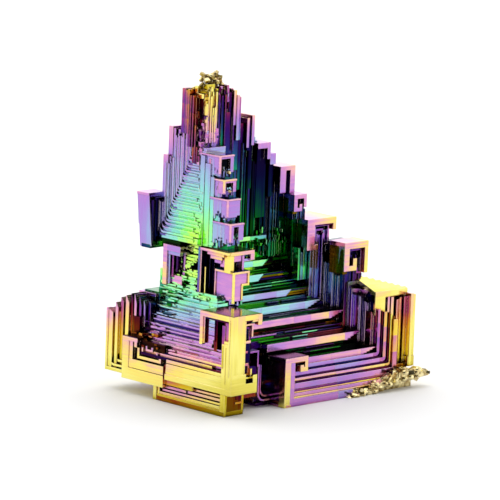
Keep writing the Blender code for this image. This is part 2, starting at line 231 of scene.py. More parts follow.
EDGE_RADIUS = 0.12 * MM
EDGE_GAIN = 5
EDGE_HIGHLIGHT_SHARE = 0.5
EDGE_HIGHLIGHT_COLOUR = (255, 236, 205)
CRUST_SCALE = 1.1
CRUST_COLOURS = ((0.35, (150, 122, 70)), (0.62, (250, 236, 180)))
BUMP_STRENGTH = 0.35
BUMP_DEPTH = 0.03 * MM
SMOOTHEST = 0.1
ROUGHER = 0.12

SPARE = 0.4 * MM
FLOOR_RADIUS = 2
FLOOR_COLOUR = (0.93, 0.93, 0.93, 1)
FLOOR_ROUGHNESS = 0.7
FLOOR_SHINE = 0.2

CAMERA_ROUND = 44.5
CAMERA_RISE = 10.3
CAMERA_ROLL = 2.2
CAMERA_TARGET = (6.72692, 1.41014, 31.47923)
CAMERA_DISTANCE = 791.7
LENS = 300
SENSOR = 36
NEAREST_SEEN = 0.05

WALL_LIGHT = 1.42
DARK_LIGHT = 0.04
DARK_EDGE = (0.45, 0.8)
DARK_RISE = 12
LAMP_WATTS = 0.6
LAMP_SIZE = 0.5
LAMP_PLACE = (0.05, 0.12, 0.7)
LAMP_TARGET = (0, 0, 0.03)

# A cuboid: its middle and size, its turn about X, Y and Z in degrees, how many steps of colour its
# film is thinner (-) or thicker (+) than its place gives, whether its growth lines stand upright,
# whether it is bare frozen metal, and how much shade is painted into its colour, which also makes
# it stronger: 0 for none, above 1 in the darkest hollows, and a little below 0 where its corners are
# painted lighter.
Block = namedtuple("Block", "middle size turn film upright bare deep")

# Stands in for a film in a row of numbers: the steps of colour that it is to have at its place.
Steps = namedtuple("Steps", "number")

chance = random.Random(SEED)
draw = chance.uniform
pick = chance.choice


def block(x, y, z, film=0, upright=0, tilt=TILT, turn=(0, 0, 0), bare=0, deep=0):
    """A cuboid between two values of x, of y and of z, a little out of true."""
    middle = Vector(((x[0] + x[1]) / 2, (y[0] + y[1]) / 2, (z[0] + z[1]) / 2))
    size = Vector((x[1] - x[0], y[1] - y[0], z[1] - z[0]))
    stray = [draw(-tilt, tilt) for _ in range(3)]
    return Block(middle, size, [a + b for a, b in zip(turn, stray)], film, upright, bare, deep)


def stretch(start, shortest, longest):
    """Two sides: one at the start and one a drawn distance beyond it."""
    return start, start + draw(shortest, longest)


def film_for(steps, x, y, z):
    """How much thicker than its place gives a film has to be, to reach those steps of colour there."""
    out = Vector((x, y, z)) - Vector(FILM_CENTRE)
    out.x = min(out.x, out.x * FILM_RIGHT_SHARE)
    return steps - (math.hypot(out.length, FILM_HEART) - FILM_CORE) / FILM_STEP


def tinted(x, y, z, steps, **looks):
    """A block whose film gives it these steps of colour on the sides nearest the front edge."""
    near = [min(low + 3, (low + high) / 2) for low, high in (x, y)]
    return block(x, y, z, film=film_for(steps, *near, (z[0] + z[1]) / 2), **looks)


def grown(*rows):
    """Blocks from rows of numbers: both values of x, of y and of z, then film or Steps, painted shade,
    upright.
    """
    blocks = []
    for row in rows:
        sides = row[:2], row[2:4], row[4:6]
        film, deep, upright = (*row[6:], 0, 0, 0)[:3]
        if isinstance(film, Steps):
            blocks.append(tinted(*sides, film.number, deep=deep, upright=upright))
        else:
            blocks.append(block(*sides, film=film, deep=deep, upright=upright))
    return blocks


def left_face_steps(y, z):
    """The steps of colour wanted at a place on the left face, least where its smooth strips end."""
    if z > LEFT_FACE_COLOURS[0][0]:
        return math.hypot(0.36 * (y - 16), 0.22 * (z - 29.5)) - 0.5
    for high, low in zip(LEFT_FACE_COLOURS, LEFT_FACE_COLOURS[1:]):
        if z >= low[0]:
            share = (high[0] - z) / (high[0] - low[0])
            return high[1] + share * (low[1] - high[1])
    return LEFT_FACE_COLOURS[-1][1]


def left_face_line(front, y, z, depth=5, drift=0.35, **looks):
    """A level line across the left face, its film following the face's colours along it."""
    rows = []
    parts = max(1, round((y[1] - y[0]) / FACE_LENGTH))
    wide = (y[1] - y[0]) / parts
    height = (z[0] + z[1]) / 2
    for part in range(parts):
        run = (y[0] + part * wide, y[0] + (part + 1) * wide + OVERLAP)
        middle = (run[0] + run[1]) / 2
        steps = left_face_steps(middle, height) + draw(-drift, drift)
        film = film_for(steps, front, middle, height)
        rows.append(block((front, front + depth), run, z, film=film, tilt=0, **looks))
    return rows


def broken_run(x, y, z, film, drift=0.6, **looks):
    """A long level ledge whose film changes where its growth broke off and started again."""
    rows = []
    start = x[0]
    while start < x[1] - 1:
        stop = start + draw(4, 14)
        if stop > x[1] - 3:
            stop = x[1]
        shade = film + draw(-drift, drift)
        rows.append(block((start, stop), y, z, film=shade, **looks))
        start = stop - OVERLAP
    return rows


def facing_block(facing, along, into, z, **looks):
    """A cuboid on a face that looks along an axis: along runs across the face, into runs inwards."""
    if facing in ("-Y", "+Y"):
        return block(along, into, z, **looks)
    return block(into, along, z, **looks)


def arch(facing, span, plane, top, bar, near_leg, far_leg, curl=None, depth=FRAME_DEPTH, **looks):
    """A square rim over a recess: a bar with two hanging legs, each (width, drop).

    near_leg is at the low end of the span. A curl (leg, reach, rise, width) turns in from the foot
    of one leg and stands up again inside it, the hook that hopper growth leaves.
    """
    into = (plane, plane + depth) if facing in ("-X", "-Y") else (plane - depth, plane)
    near_width, near_drop = near_leg
    far_width, far_drop = far_leg
    near_run = (span[0], span[0] + near_width)
    far_run = (span[1] - far_width, span[1])
    rim = [
        facing_block(facing, span, into, (top - bar, top), **looks),
        facing_block(facing, near_run, into, (top - near_drop, top), **looks),
        facing_block(facing, far_run, into, (top - far_drop, top), **looks),
    ]
    if curl:
        leg, reach, rise, width = curl
        if leg == "near":
            foot = top - near_drop
            run = (span[0], span[0] + reach)
            tip = (run[1] - width, run[1])
        else:
            foot = top - far_drop
            run = (span[1] - reach, span[1])
            tip = (run[0], run[0] + width)
        rim.append(facing_block(facing, run, into, (foot, foot + width), **looks))
        rim.append(facing_block(facing, tip, into, (foot, foot + rise), **looks))
    return rim


def pleats(facing, span, plane, z, width, depth, fall=1.5, steps=None, **looks):
    """Thin upright sheets side by side across a face, each its own depth and height.

    Their film is one thickness all the way up, or follows the steps of colour (at the foot, at the top).
    """
    sheets = []
    at = span[0]
    inwards = 1 if facing in ("-X", "-Y") else -1
    while at < span[1] - 0.3 * width:
        wide = width * draw(0.6, 1.4)
        proud = depth * draw(0.1, 1)
        into = sorted((plane - inwards * proud, plane + inwards * 1.5))
        top = z[1] - draw(0, fall)
        film = looks.get("film", 0) + draw(-0.7, 0.7)
        deep = looks.get("deep", 0) * draw(0.6, 1.2)
        run = (at, min(at + wide * draw(0.55, 0.9), span[1]))
        lengths = 1 if steps is None else max(1, round((top - z[0]) / LENGTH))
        high = (top - z[0]) / lengths
        for length in range(lengths):
            low = z[0] + length * high
            if steps:
                share = (length + 0.5) / lengths
                middle = (run[0] + run[1]) / 2
                place = (middle, plane) if facing in ("-Y", "+Y") else (plane, middle)
                wanted = steps[0] + share * (steps[1] - steps[0])
                here = film + film_for(wanted, *place, low + high / 2)
                sheets.append(facing_block(
                    facing, run, into, (low, low + high + OVERLAP), film=here, upright=1, tilt=0, deep=deep,
                ))
            else:
                sheets.append(facing_block(facing, run, into, (low, top), film=film, upright=1, deep=deep))
        at += wide
    return sheets


def heart_at(z):
    """The four faces of the heart at a height, read between the rows of HEART."""
    for low, high in zip(HEART, HEART[1:]):
        if z <= high[0]:
            share = (z - low[0]) / (high[0] - low[0])
            return [a + share * (b - a) for a, b in zip(low[1:], high[1:])]
    return HEART[-1][1:]


def heart():
    """The stepped body: one cuboid for each fine terrace, each smaller and taller than the last."""
    left, right, far_right, far_left = HEART[0][1:]
    rows = [block((left, far_right), (right, far_left), (0, HEART_FOOT + 0.5), tilt=0, deep=0.6)]
    top = 4.4
    while top < HEART[-1][0]:
        left, right, far_right, far_left = heart_at(top)
        stray = [draw(-0.15, 0.15) for _ in range(4)]
        behind = 2.4 if top < 28.8 else 0.4
        rows.append(block(
            (left + stray[0], far_right + stray[1]), (right + behind + stray[2], far_left + stray[3]),
            (HEART_FOOT, top), tilt=0.12, film=draw(-0.4, 0.4), deep=draw(0.2, 0.7),
        ))
        top += draw(0.45, 0.95) if top < 30 else draw(0.8, 1.6)
    return rows


def right_wall():
    """The pleats that close the hollow on its right, with thinner sheets between the main ones."""
    sheets = []
    for row, after in zip(RIGHT_WALL, RIGHT_WALL[1:]):
        fine = row[0] > 29
        for share in (0, 0.4, 0.75) if fine else (0, 0.35, 0.7):
            left, front, top = [a + share * (b - a) for a, b in zip(row, after)]
            top -= draw(0, 0.9)
            far_left = heart_at(top)[3]
            steps = max(1.5, 4.4 - 0.25 * max(0, 42 - left)) + draw(-0.5, 0.5)
            film = film_for(steps, left, front, top - 5)
            sheets.append(block(
                (left + draw(-0.25, 0.15), left + (4.6 if fine else 3)),
                (front + draw(-0.4, 0.4), far_left - 1),
                (HEART_FOOT + 0.6, top), film=film, upright=1,
                deep=pick((0, 0.3, 0.7, 1.4) if fine else (0.1, 0.4, 0.9)),
            ))
    return sheets


def ledges():
    """The great ledges across the hollow: a bright lip over an undercut of fine broken steps."""
    rows = [block((12, 41), (16.5, 24), (2, 20), tilt=0, deep=1)]
    below_front, below_top = -0.4, 4.3
    for front, top, left, right, lip, steps, dull in LEDGES:
        film = film_for(steps, (left + dull) / 2, front, top)
        rows += broken_run((left, dull - 4), (front, front + 3), (top - lip, top - 0.06), film, drift=0.5)
        # The lip ends in a point, its lower part broken off sooner.
        strips = 5
        for strip in range(strips):
            high = top - 0.06 - strip * lip / strips
            rows.append(tinted(
                (dull - 4.05, dull - (0.8 if dull == right else 0.3) * strip), (front, front + 3),
                (high - lip / strips - OVERLAP, high), steps, tilt=0,
            ))
        if dull < right:
            for strip in range(3):
                high = top - 0.1 - strip * lip / 3
                rows += broken_run(
                    (dull - 3, right - draw(0, 3)), (front + 0.1, front + 3), (high - 0.3, high),
                    film_for(pick((4.2, 5.2, 9.2)), right - 4, front, top), deep=1,
                )
        # Behind the lip the ledge's top, and under it the undercut, carry strong painted shade.
        rows.append(block(
            (left + 0.2, right), (front + 0.12, front + 5), (top - 0.5, top), film=-2.5, deep=1.2,
        ))
        rows.append(block(
            (left, right - 0.4), (front + 0.4, front + 3), (top - lip - 0.35, top - 0.2), film=film,
            deep=1.6,
        ))
        rise = top - lip - 0.35 - below_top
        count = max(2, round(rise / 0.42))
        for step in range(count):
            share = (step + 1) / count
            face = below_front + 1 + share * (front + 0.4 - below_front) + draw(-0.2, 0.2)
            high = below_top + share * rise
            tint = pick((0.5, 1, 1.8, steps - 1, 4.8, 6.6, 8.8, 9.4))
            shade = film_for(tint, (left + right) / 2, face, high)
            end = right + draw(-2.5, 0.6)
            dark = pick((0.8, 1.1, 1.3, 1.6))
            rows += broken_run((left - 0.4, end), (face, front + 6), (high - 1.6, high), shade, deep=dark)
            for _ in range(3):
                start = draw(left, end - 6)
                stop = min(end, start + draw(3, 12))
                proud = draw(0.15, 0.6)
                rows.append(block(
                    (start, stop), (face - proud, face + 1),
                    (high - draw(0.18, 0.32), high - 0.03),
                    film=film_for(pick((0.6, 1.4, steps - 0.8, steps)), (start + stop) / 2, face, high),
                    deep=pick((0.1, 0.6, 0.9, 1.2)),
                ))
        below_front, below_top = front, top
    return rows


def front_foot():
    """The small stepped foot under the front edge: a frame, with nested ledges in its mouth."""
    rows = grown(
        (0, 5.1, 0, 19.8, 0, 0.9, Steps(7.6), 0.85), (0.1, 5, 0.2, 19.6, 0.7, 1.3, -0.2, 0.3),
        (0, 0.5, 0, 1.2, 0, 4.6, Steps(8.4), 0.15, 1), (0.4, 5.1, 0.05, 1.2, 0, 4.6, Steps(7), 1.3, 1),
        (0, 5.1, 18.9, 19.8, 0, 4.6, 0.4), (0.2, 5.1, 18.2, 18.8, 0.6, 4.6, -0.4),
        (0.3, 5, 0.6, 19, 0.2, 1.8, -1), (0.9, 5, 0.9, 18, 0.2, 2.1, -2, 1),
        (0.45, 5, 1, 17.6, 2, 2.4, -1.6), (1, 5, 1, 18.4, 0.3, 2.7, -2.6, 1),
        (0.5, 5, 1, 10.6, 2.7, 3.2, -2), (0.6, 5, 11.2, 17.2, 2.6, 3.1, -1.4),
        (1.2, 5, 1, 18.2, 0.3, 3.4, -2.2, 1), (0.7, 5, 1.2, 16.6, 3.4, 3.8, -1.8),
        (1.2, 5, 1.2, 17, 3.6, 4.7, -1.5, 1),
    )
    rows += arch("-Y", (0.2, 5.1), 0, 4.4, 0.5, (0.5, 4.2), (0.5, 4), depth=1, film=-1, deep=0.5)
    rows += grown(
        (2.9, 4.7, -0.1, 1.2, 2.2, 2.6, Steps(7), 0.5), (3, 4.4, -0.05, 1.2, 3, 4.2, Steps(5.6), 1.2, 1),
        (0.9, 4.4, 0.3, 1.4, 0.8, 4, -0.8, 0.8),
    )
    return rows


def first_frame():
    """The lowest frame of the front edge: a post on a foot, under a wide square plate."""
    rows = grown(
        (-0.5, 2.7, -2.2, -1.1, 4.5, 19.75, 0.5, 0, 1), (-0.5, 2.7, -1.3, 0.6, 4.5, 14.2, 0.5, 0, 1),
        (-0.35, 2.7, -1.3, 0.2, 14, 14.8, 0.7, 0, 1), (0.25, 2.7, -1.3, 0.6, 14, 19.5, Steps(5.3), 0.2, 1),
        (0.4, 3.2, -2, 0.4, 4.7, 19.5, 0.4), (-0.5, 7.2, -2.2, 6.9, 18.7, 19.7, 1.2),
        (-0.35, 7, -2.05, 6.75, 19.3, 19.8, 3.6, 0.9), (-0.2, 6.9, -1.8, 6.7, 18.3, 19.2, -0.6, 1),
        (-0.5, 6.4, -2.2, -1, 4.5, 6.5, 0.5), (5.3, 6.4, -2.2, -1.1, 4.5, 8, 0.4),
        (-0.5, 5.6, -2.2, 3, 4.5, 5.6, 0.4), (-0.5, 0.3, 6.1, 6.9, 13.2, 19.7, 1.4),
        (-0.3, 0.8, 5.7, 6.5, 13.5, 19.6, 1.1), (6.2, 7.2, -2.2, -1.1, 17.6, 19.7, 1),
        (4.8, 7, -2.1, -1.1, 18.3, 19.6, 0.9), (-0.5, 3.4, -2.2, 16.2, 4.5, 5.6, 0.6),
        (-0.35, 3.4, -2.2, 16.1, 5.7, 6.6, 0.5), (-0.45, 3.4, -2.2, 15.9, 6.7, 7.7, 0.5),
        (-0.25, 3.4, -2.2, 16.1, 7.75, 8.4, 0.4), (-0.1, 3.4, -2, 16, 4.7, 8.3, -0.2, 0.9),
        (-0.6, 0.4, -1.5, -1.2, 8, 19, 0.9, 0, 1), (-0.55, 0.4, -0.6, -0.4, 6.6, 13.6, -0.3, 0.3, 1),
        (-0.57, 0.4, 0.1, 0.5, 9.5, 13.9, 1.6, 0.2, 1), (-0.42, 3.4, -2.2, 16, 4.6, 7.6, 0.5),
    )
    # The nested hooks on the right face, each thinner and further in.
    for left, right, low, high, plane, film, deep in (
        (3, 5.6, 7.2, 17.9, -1.5, 0.2, 0),
        (3.3, 5.2, 7.8, 17.2, -1.1, -1.2, 0.4),
        (3.6, 4.9, 8.3, 16.2, -0.7, -2.6, 0.8),
    ):
        rows += arch(
            "-Y", (left, right), plane, high, 0.35, (0.4, high - low), (0.35, 2.6),
            ("near", right - left, 1.9, 0.35), depth=1.2, film=film, deep=deep,
        )
    rows += grown(
        (2.6, 4.8, -1.7, -0.6, 14.2, 14.7, -0.2), (2.6, 4.2, -1.6, -0.6, 12.3, 12.7, -1, 0.3),
        (3.4, 4.6, -1.5, -0.6, 9.8, 10.3, -1.2, 0.2), (2.6, 5.4, -0.9, 1, 5.6, 18, -2.6, 1.1),
    )
    # What stands in the shade of the left window, with that shade painted into its colour.
    rows += grown(
        (4.6, 7.5, 1, 9.5, 4.5, 18.8, -1, 1.6), (2.6, 5.4, 2, 6.4, 4.5, 12.2, -1, 1.1),
        (1.8, 4.8, 4.4, 5.2, 11.8, 18.5, 0.6, 1, 1), (2.4, 4.8, 2.4, 3.2, 11.8, 17.6, 0.6, 1.1, 1),
        (0.1, 2.6, 0.5, 1.3, 12.4, 17.6, -0.9, 0.3, 1), (0.5, 2.6, 1.2, 1.7, 11, 16.4, -1.2, 0.5, 1),
    )
    return rows


def second_frame():
    """The next frame up the front edge, a plate on a neck that widens into a block below."""
    rows = grown(
        (6.6, 12.9, 6.4, 14.7, 29.4, 30.1, 4.6), (6.75, 12.75, 6.55, 14.5, 29.7, 30.2, 8, 0.9),
        (6.9, 12.4, 6.8, 14.3, 28.9, 29.6, 1, 1), (6, 6.5, 14.3, 14.8, 19.5, 30.1, 2.4, 0.3),
        (6.1, 6.5, 14, 14.5, 20, 29.9, 5), (6, 6.9, 6.5, 14.8, 29.6, 30.1, 4.8),
        (6.3, 6.9, 8, 12.6, 29, 29.6, 4.8), (6.4, 7, 8.6, 11.8, 28.3, 29.1, 4.6),
        (6.6, 7, 9, 10.8, 27.6, 28.4, 3), (6.7, 7.6, 6.5, 8.2, 26, 30.1, 5),
        (6.8, 7.2, 8, 9.4, 27, 28.6, 3.4), (6.9, 9.6, 6.6, 9, 28.2, 29.4, 3.4),
        (11.9, 12.9, 6.4, 7.4, 28.2, 30.1, 4.4), (9.8, 10.3, 6.5, 8, 25.6, 29.6, 3.4),
        (10.2, 12.2, 6.8, 8.4, 28, 28.5, 2.6), (10.2, 11.8, 7.4, 9, 28, 29.5, -1, 1.2),
        (7.2, 10.9, 6, 11, 23.6, 26.2, 3), (7.2, 9.6, 6, 11, 20.6, 24, 2.7),
        (7, 11.2, 5.8, 11.1, 25.9, 26.3, 4.6), (7.2, 11, 6, 11, 26.1, 26.45, 1, 1),
        (7, 7.4, 5.8, 6.2, 20.2, 26.2, 4.8), (7, 7.5, 10.8, 11.1, 20.6, 26.2, 4),
        (10.8, 11.2, 5.8, 6.5, 23.5, 26.2, 4.6), (9.3, 10.9, 5.85, 6.5, 23.5, 23.9, 4.4),
        (9.2, 9.6, 5.85, 6.5, 20.8, 23.8, 4.4), (9.6, 10.6, 8, 18, 17, 29.5, 1, 1.6),
        (7.4, 9.8, 8.3, 8.8, 24, 29, 1.8, 0.2, 1), (6.3, 9.9, 14.6, 15, 19, 29.8, 4, 1.2, 1),
        (6.4, 6.9, 13, 13.25, 19.6, 26.4, 6.2),
    )
    # Growth has eaten into the foot of the block.
    for _ in range(14):
        at = draw(0, 7.6)
        low = 20.9 - draw(0.2, 1.6)
        looks = dict(film=draw(-1.5, 2), upright=1, deep=pick((0, 0.9, 1.1)))
        if at < 4.6:
            rows.append(block((7.1, 8), (6.2 + at, 6.6 + at), (low, 21), **looks))
        else:
            rows.append(block((7.2 + at - 4.6, 7.6 + at - 4.6), (6, 7), (low, 21), **looks))
    rows += pleats("-X", (8.6, 14.4), 9.5, (19, 29.2), 0.7, 1.4, steps=(2.6, 3.4), deep=0.95)
    return rows


def edge_blocks():
    """The smaller frames that climb the front edge, each a square cap with a hooked right face."""
    rows = []
    for x, y, right, left, foot, top, film, window, near in EDGE_BLOCKS:
        rim = film + 1.6
        # The left side hangs down in strips, each broken off at its own height.
        at = y + 0.1
        while at < y + left - 0.1:
            wide = min(draw(0.5, 1.1), y + left - at)
            low = foot + draw(-0.7, 0.5)
            rows.append(block(
                (x + draw(0, 0.12), x + max(0.45, near)), (at, at + wide + OVERLAP), (low, top - 0.2),
                film=film, upright=1, tilt=0, deep=-0.2,
            ))
            at += wide
        rows.append(block((x, x + right), (y, y + left), (top - 0.6, top - 0.05), film=film + 0.3))
        rows.append(block(
            (x + 0.15, x + right - 0.1), (y + 0.15, y + left), (top - 0.4, top),
            film=film_for(8.8, x, y, top), deep=0.9,
        ))
        rows.append(block(
            (x - 0.1, x + right + 0.1), (y - 0.1, y + left), (top - 0.35, top - 0.06), film=rim,
        ))
        rows.append(block((x - 0.1, x + 0.25), (y - 0.1, y + 0.25), (foot + 0.2, top), film=rim))
        far = right - window - near
        rows += arch(
            "-Y", (x, x + right), y, top, 0.7, (near, top - foot), (far, top - foot - 0.3), film=film + 0.4,
        )
        # The back of the window, and the body behind the left side, carry painted shade.
        rows.append(block(
            (x + near, x + right - 0.2), (y + 0.5, y + 2), (foot + 0.4, top - 0.6), film=-1, deep=1.6,
        ))
        rows.append(block((x + 0.5, x + 2.4), (y + 1.2, 19.5), (foot - 3, top - 0.4), deep=0.8))
        # Ragged teeth hang under each cap, and lumps of growth cling in the window.
        for _ in range(8):
            at = draw(y + 0.2, y + left - 0.4)
            rows.append(block(
                (x + 0.1, x + 1), stretch(at, 0.15, 0.5),
                (foot - draw(0.2, 1.4), foot + 0.5), film=film - 0.5, upright=1,
                deep=pick((0, 0.3, 1)),
            ))
        for _ in range(5):
            at = draw(x + 0.2, x + right - 0.6)
            rows.append(block(
                stretch(at, 0.2, 0.5), (y + 0.1, y + 1),
                (foot - draw(0.1, 0.8), foot + 0.6), film=film - 0.5, upright=1, deep=0.3,
            ))
        for _ in range(6):
            at = draw(x + 0.8, x + right - 0.7)
            high = foot + draw(0, 1)
            rows.append(tinted(
                stretch(at, 0.3, 0.7), (y + draw(0, 0.4), y + 1.5),
                stretch(high, 0.2, 0.6), draw(1.4, 2.6), tilt=25,
            ))
        for _ in range(4):
            at = draw(y + 0.4, y + left - 0.6)
            high = foot + draw(-0.2, 1)
            rows.append(block(
                (x - 0.05, x + 0.4), stretch(at, 0.1, 0.3), stretch(high, 0.2, 0.8),
                film=film, tilt=10, deep=0.8,
            ))
    for y, top in ((9, 35.5), (10.2, 40), (11.6, 43.6), (13.2, 47)):
        rows.append(block(
            (7.4, 9.4), (y, 19.5), (30, top), film=film_for(left_face_steps(y, top), 7.4, y, top),
        ))
    return rows


def right_posts():
    """The hooked blocks that step down the right-hand skyline, outermost first."""
    rows = grown(
        # Outer corner: a tall pleated pillar under a wide plate.
        (41.9, 50.9, 1.5, 6.8, 18.6, 19.5), (42.1, 50.6, 1.7, 6.8, 18.2, 18.9),
        (41.9, 43.4, 1.9, 6.8, 15, 19.4, -2.5, 1), (42.6, 51, 3.6, 9, 4, 19, -3, 1),
        (50, 51.8, -0.2, 3, 4, 6), (40, 50.4, 0.4, 7, 1, 4.6, Steps(6.2), 0.6),
    )
    # The top of that plate slopes up to the wall behind, less far the further right it is.
    slices = 9
    for number in range(slices):
        left = 41.9 + number
        reach = 7.4 * (1 - number / slices)
        rise = reach * math.tan(math.radians(PLATE_SLOPE))
        rows.append(tinted(
            (left, left + 1.02), (1.6, 1.6 + reach), (18.7 + rise / 2, 19.45 + rise / 2), 7.8,
            turn=(PLATE_SLOPE, 0, 0), tilt=0,
        ))
    rows += arch("-Y", (41.9, 50.9), 1.5, 19.45, 1.1, (2.8, 4.6), (0.9, 2.4), film=0.3)
    rows += pleats("-Y", (41.2, 43.6), 2.6, (8.6, 15.6), 0.32, 0.8, fall=1.2, steps=(5, 6), deep=0.2)
    rows += arch("-Y", (44.5, 50.2), 2.1, 18.5, 0.5, (0.5, 2.6), (0.5, 3.4), film=-1, deep=0.3)
    for left, right, front, top, steps, deep in PILLAR_SHEETS:
        film = film_for(steps, left, front, 11)
        rows.append(block((left, right), (front, 9), (4.2, top), film=film, upright=1, deep=deep))
    # Second corner, with the clearest hook.
    rim = film_for(6.3, 40, 5.7, 26)
    rows += grown(
        (37, 43.6, 5.7, 9.9, 28.3, 29.1, rim), (37.2, 43.4, 5.9, 9.9, 27.8, 28.6, rim - 1, 0.9),
        (37, 38.2, 6, 9.9, 22.8, 28.9, Steps(8.6), 1.1), (38.4, 43.2, 7.4, 13, 12, 28.6, rim - 2.4, 1.1),
    )
    rows += arch(
        "-Y", (37, 43.6), 5.7, 29, 1.2, (1.4, 5.6), (0.9, 6.3), ("near", 3.5, 2.4, 1), film=rim,
    )
    rows += arch(
        "-Y", (38.9, 42.6), 6.4, 27.6, 0.4, (0.4, 1.7), (0.4, 5), ("far", 1.4, 1.2, 0.35), film=rim - 2,
        deep=0.4,
    )
    # Third corner.
    rim = film_for(6, 35, 10.6, 31)
    rows += grown(
        (31.4, 39.3, 10.6, 18.1, 32.5, 33.5, rim), (31.6, 39, 10.8, 18.1, 32, 32.8, rim - 1, 0.9),
        (31.4, 33, 10.9, 18.1, 27.4, 33.3, Steps(8.6), 1.1), (33.4, 38.6, 12.4, 18.6, 16, 33, rim - 3, 1.1),
    )
    rows += arch(
        "-Y", (31.4, 39.3), 10.6, 33.4, 1.1, (2, 6), (0.8, 2.4), ("near", 3, 1, 0.9), film=rim,
    )
    rows += arch(
        "-Y", (33.8, 38.1), 11.3, 32.2, 0.4, (0.5, 3.4), (0.4, 4.4), ("far", 2, 1.7, 0.4), film=rim - 1.4,
    )
    rows += arch("-Y", (34.8, 37), 11.9, 31.2, 0.4, (0.4, 2.8), (0.4, 1.6), film=rim - 1.2, deep=0.2)
    # Fourth corner, a small scroll.
    rim = film_for(5.2, 31, 12.5, 37)
    rows += grown(
        (29.3, 32.7, 12.5, 18.5, 37.6, 38.4, rim), (29.3, 30.4, 12.8, 18.5, 34.6, 38.2, Steps(7.6), 1.2),
        (30.1, 32.2, 13.6, 18.8, 24, 37.8, rim - 3, 1.1),
    )
    rows += arch(
        "-Y", (29.3, 32.7), 12.5, 38.35, 0.8, (0.9, 3.3), (0.7, 2.6), ("near", 2.2, 1.4, 0.7), film=rim,
    )
    # Fifth corner, a tall narrow arch.
    rim = film_for(5, 29, 14.4, 41)
    rows += grown(
        (27.1, 31.1, 14.4, 18.8, 43.2, 43.9, rim), (27.1, 28.2, 14.7, 18.8, 40.2, 43.7, rim, 1.2),
        (28, 30.7, 15.6, 19, 30, 43.4, rim - 1.4, 1.1),
    )
    rows += arch("-Y", (27.1, 31.1), 14.4, 43.85, 0.8, (1.5, 5.2), (1.3, 5.4), film=rim)
    # The pleats under and behind the corners, as far as the next corner out.
    rows += pleats("-Y", (38.4, 43), 7.2, (12, 27), 0.6, 0.9, film=film_for(4.4, 40, 7.2, 20), deep=0.8)
    rows += pleats("-Y", (33.2, 38.6), 12, (17, 31.4), 0.6, 0.9, steps=(3.1, 3.9), deep=0.1)
    # Broad teal flutes come down behind the ends of the upper ledges.
    rows += pleats("-Y", (29.2, 33), 12.2, (21.4, 28.4), 1.1, 0.5, fall=1.5, steps=(1.7, 2.1), deep=0.4)
    rows += pleats("-Y", (33.4, 36.2), 11.9, (20.6, 27.6), 1.1, 0.4, fall=1, steps=(1.3, 2), deep=0.45)
    rows += pleats("-Y", (36.8, 38.4), 11.6, (17.6, 25.6), 0.8, 0.4, fall=2, steps=(2.2, 2.7), deep=0.45)
    rows += pleats("-Y", (30, 33), 13.7, (33.4, 36.6), 0.5, 0.7, film=film_for(2.8, 31, 14, 32), deep=0.8)
    # The narrow columns that lead up to the tower.
    rows += grown(
        (24.9, 26.4, 15.2, 19, 44.4, 46.6, 1.2, 0, 1), (25, 26.2, 15.6, 19, 38, 45.6, 1.6, 1.3, 1),
        (21.3, 24.7, 15, 19.2, 47.8, 48.9, 1.4, 0, 1), (21.3, 22.2, 15.2, 19.2, 45.4, 48.7, 1, 1.3, 1),
        (23.9, 24.7, 15, 19.2, 45.6, 48.8, 1.3, 0, 1), (22, 24.5, 16, 19.4, 34, 48.2, 1.6, 1.3, 1),
        (19.8, 20.5, 15.4, 19, 48.6, 54.5, 1, 0, 1), (19.7, 20.6, 16, 19, 40, 52, 1.2, 1.3, 1),
        (18.8, 19.7, 15.6, 19, 47.6, 54.2, 0.6, 1.1, 1), (18.6, 19.2, 15.5, 19, 48.2, 54, 1.2, 0, 1),
        (17, 18.2, 16.2, 19, 40, 53, 1, 0.9, 1), (13.2, 14.6, 15.6, 19, 44, 54.6, 0.3, 0.6, 1),
        (14.6, 16.6, 15.9, 19, 44, 54.4, 0.2, 0.7, 1), (11.8, 13, 15.8, 19, 44, 51.6, 0.8, 0, 1),
        (15.2, 15.8, 15, 18.6, 50, 58.8, -0.6, 0, 1), (15.8, 16.4, 15.2, 18.6, 50, 58.4, -0.4, 0.2, 1),
    )
    return rows


def dark_columns():
    """The tall columns at the back of the hollow, with painted shade."""
    rows = pleats("-Y", (9.4, 13.2), 17.6, (28, 50), 0.6, 1.2, fall=2, steps=(0.8, 3.6), deep=1)
    rows += pleats("-Y", (13, 18.2), 17.4, (28, 51), 0.7, 1.6, fall=5, steps=(0.8, 3.8), deep=0.9)
    rows += pleats("-Y", (17.4, 22.4), 17, (28, 47.6), 0.5, 1.2, fall=3, steps=(0.9, 3.6), deep=1.3)
    rows += pleats("-Y", (22.2, 26.2), 17.4, (27, 45), 0.5, 1.2, fall=3, steps=(1.1, 3.6), deep=1.2)
    rows += pleats("-Y", (25.6, 30.4), 17.2, (26, 41), 0.6, 1.4, fall=2, steps=(1.4, 3.4), deep=0.7)
    # Broken growth sparkles where the columns meet the top ledge.
    for _ in range(50):
        x = chance.triangular(14, 30, 28)
        y = draw(14.6, 16.6)
        z = 28 + abs(chance.gauss(0, 1.6))
        rows.append(block(
            stretch(x, 0.1, 0.35), (y, y + 2), stretch(z, 0.3, 1.6),
            film=film_for(draw(0.4, 1.6), x, y, z), upright=1, tilt=4,
            deep=pick((0.2, 0.6, 0.9, 1.2)),
        ))
    rows.append(tinted((15.5, 20), (15, 17), (29.9, 30.7), 0.7))
    rows.append(tinted((19.9, 24.5), (15.1, 17), (29.9, 30.6), 1.8, deep=0.2))
    return rows


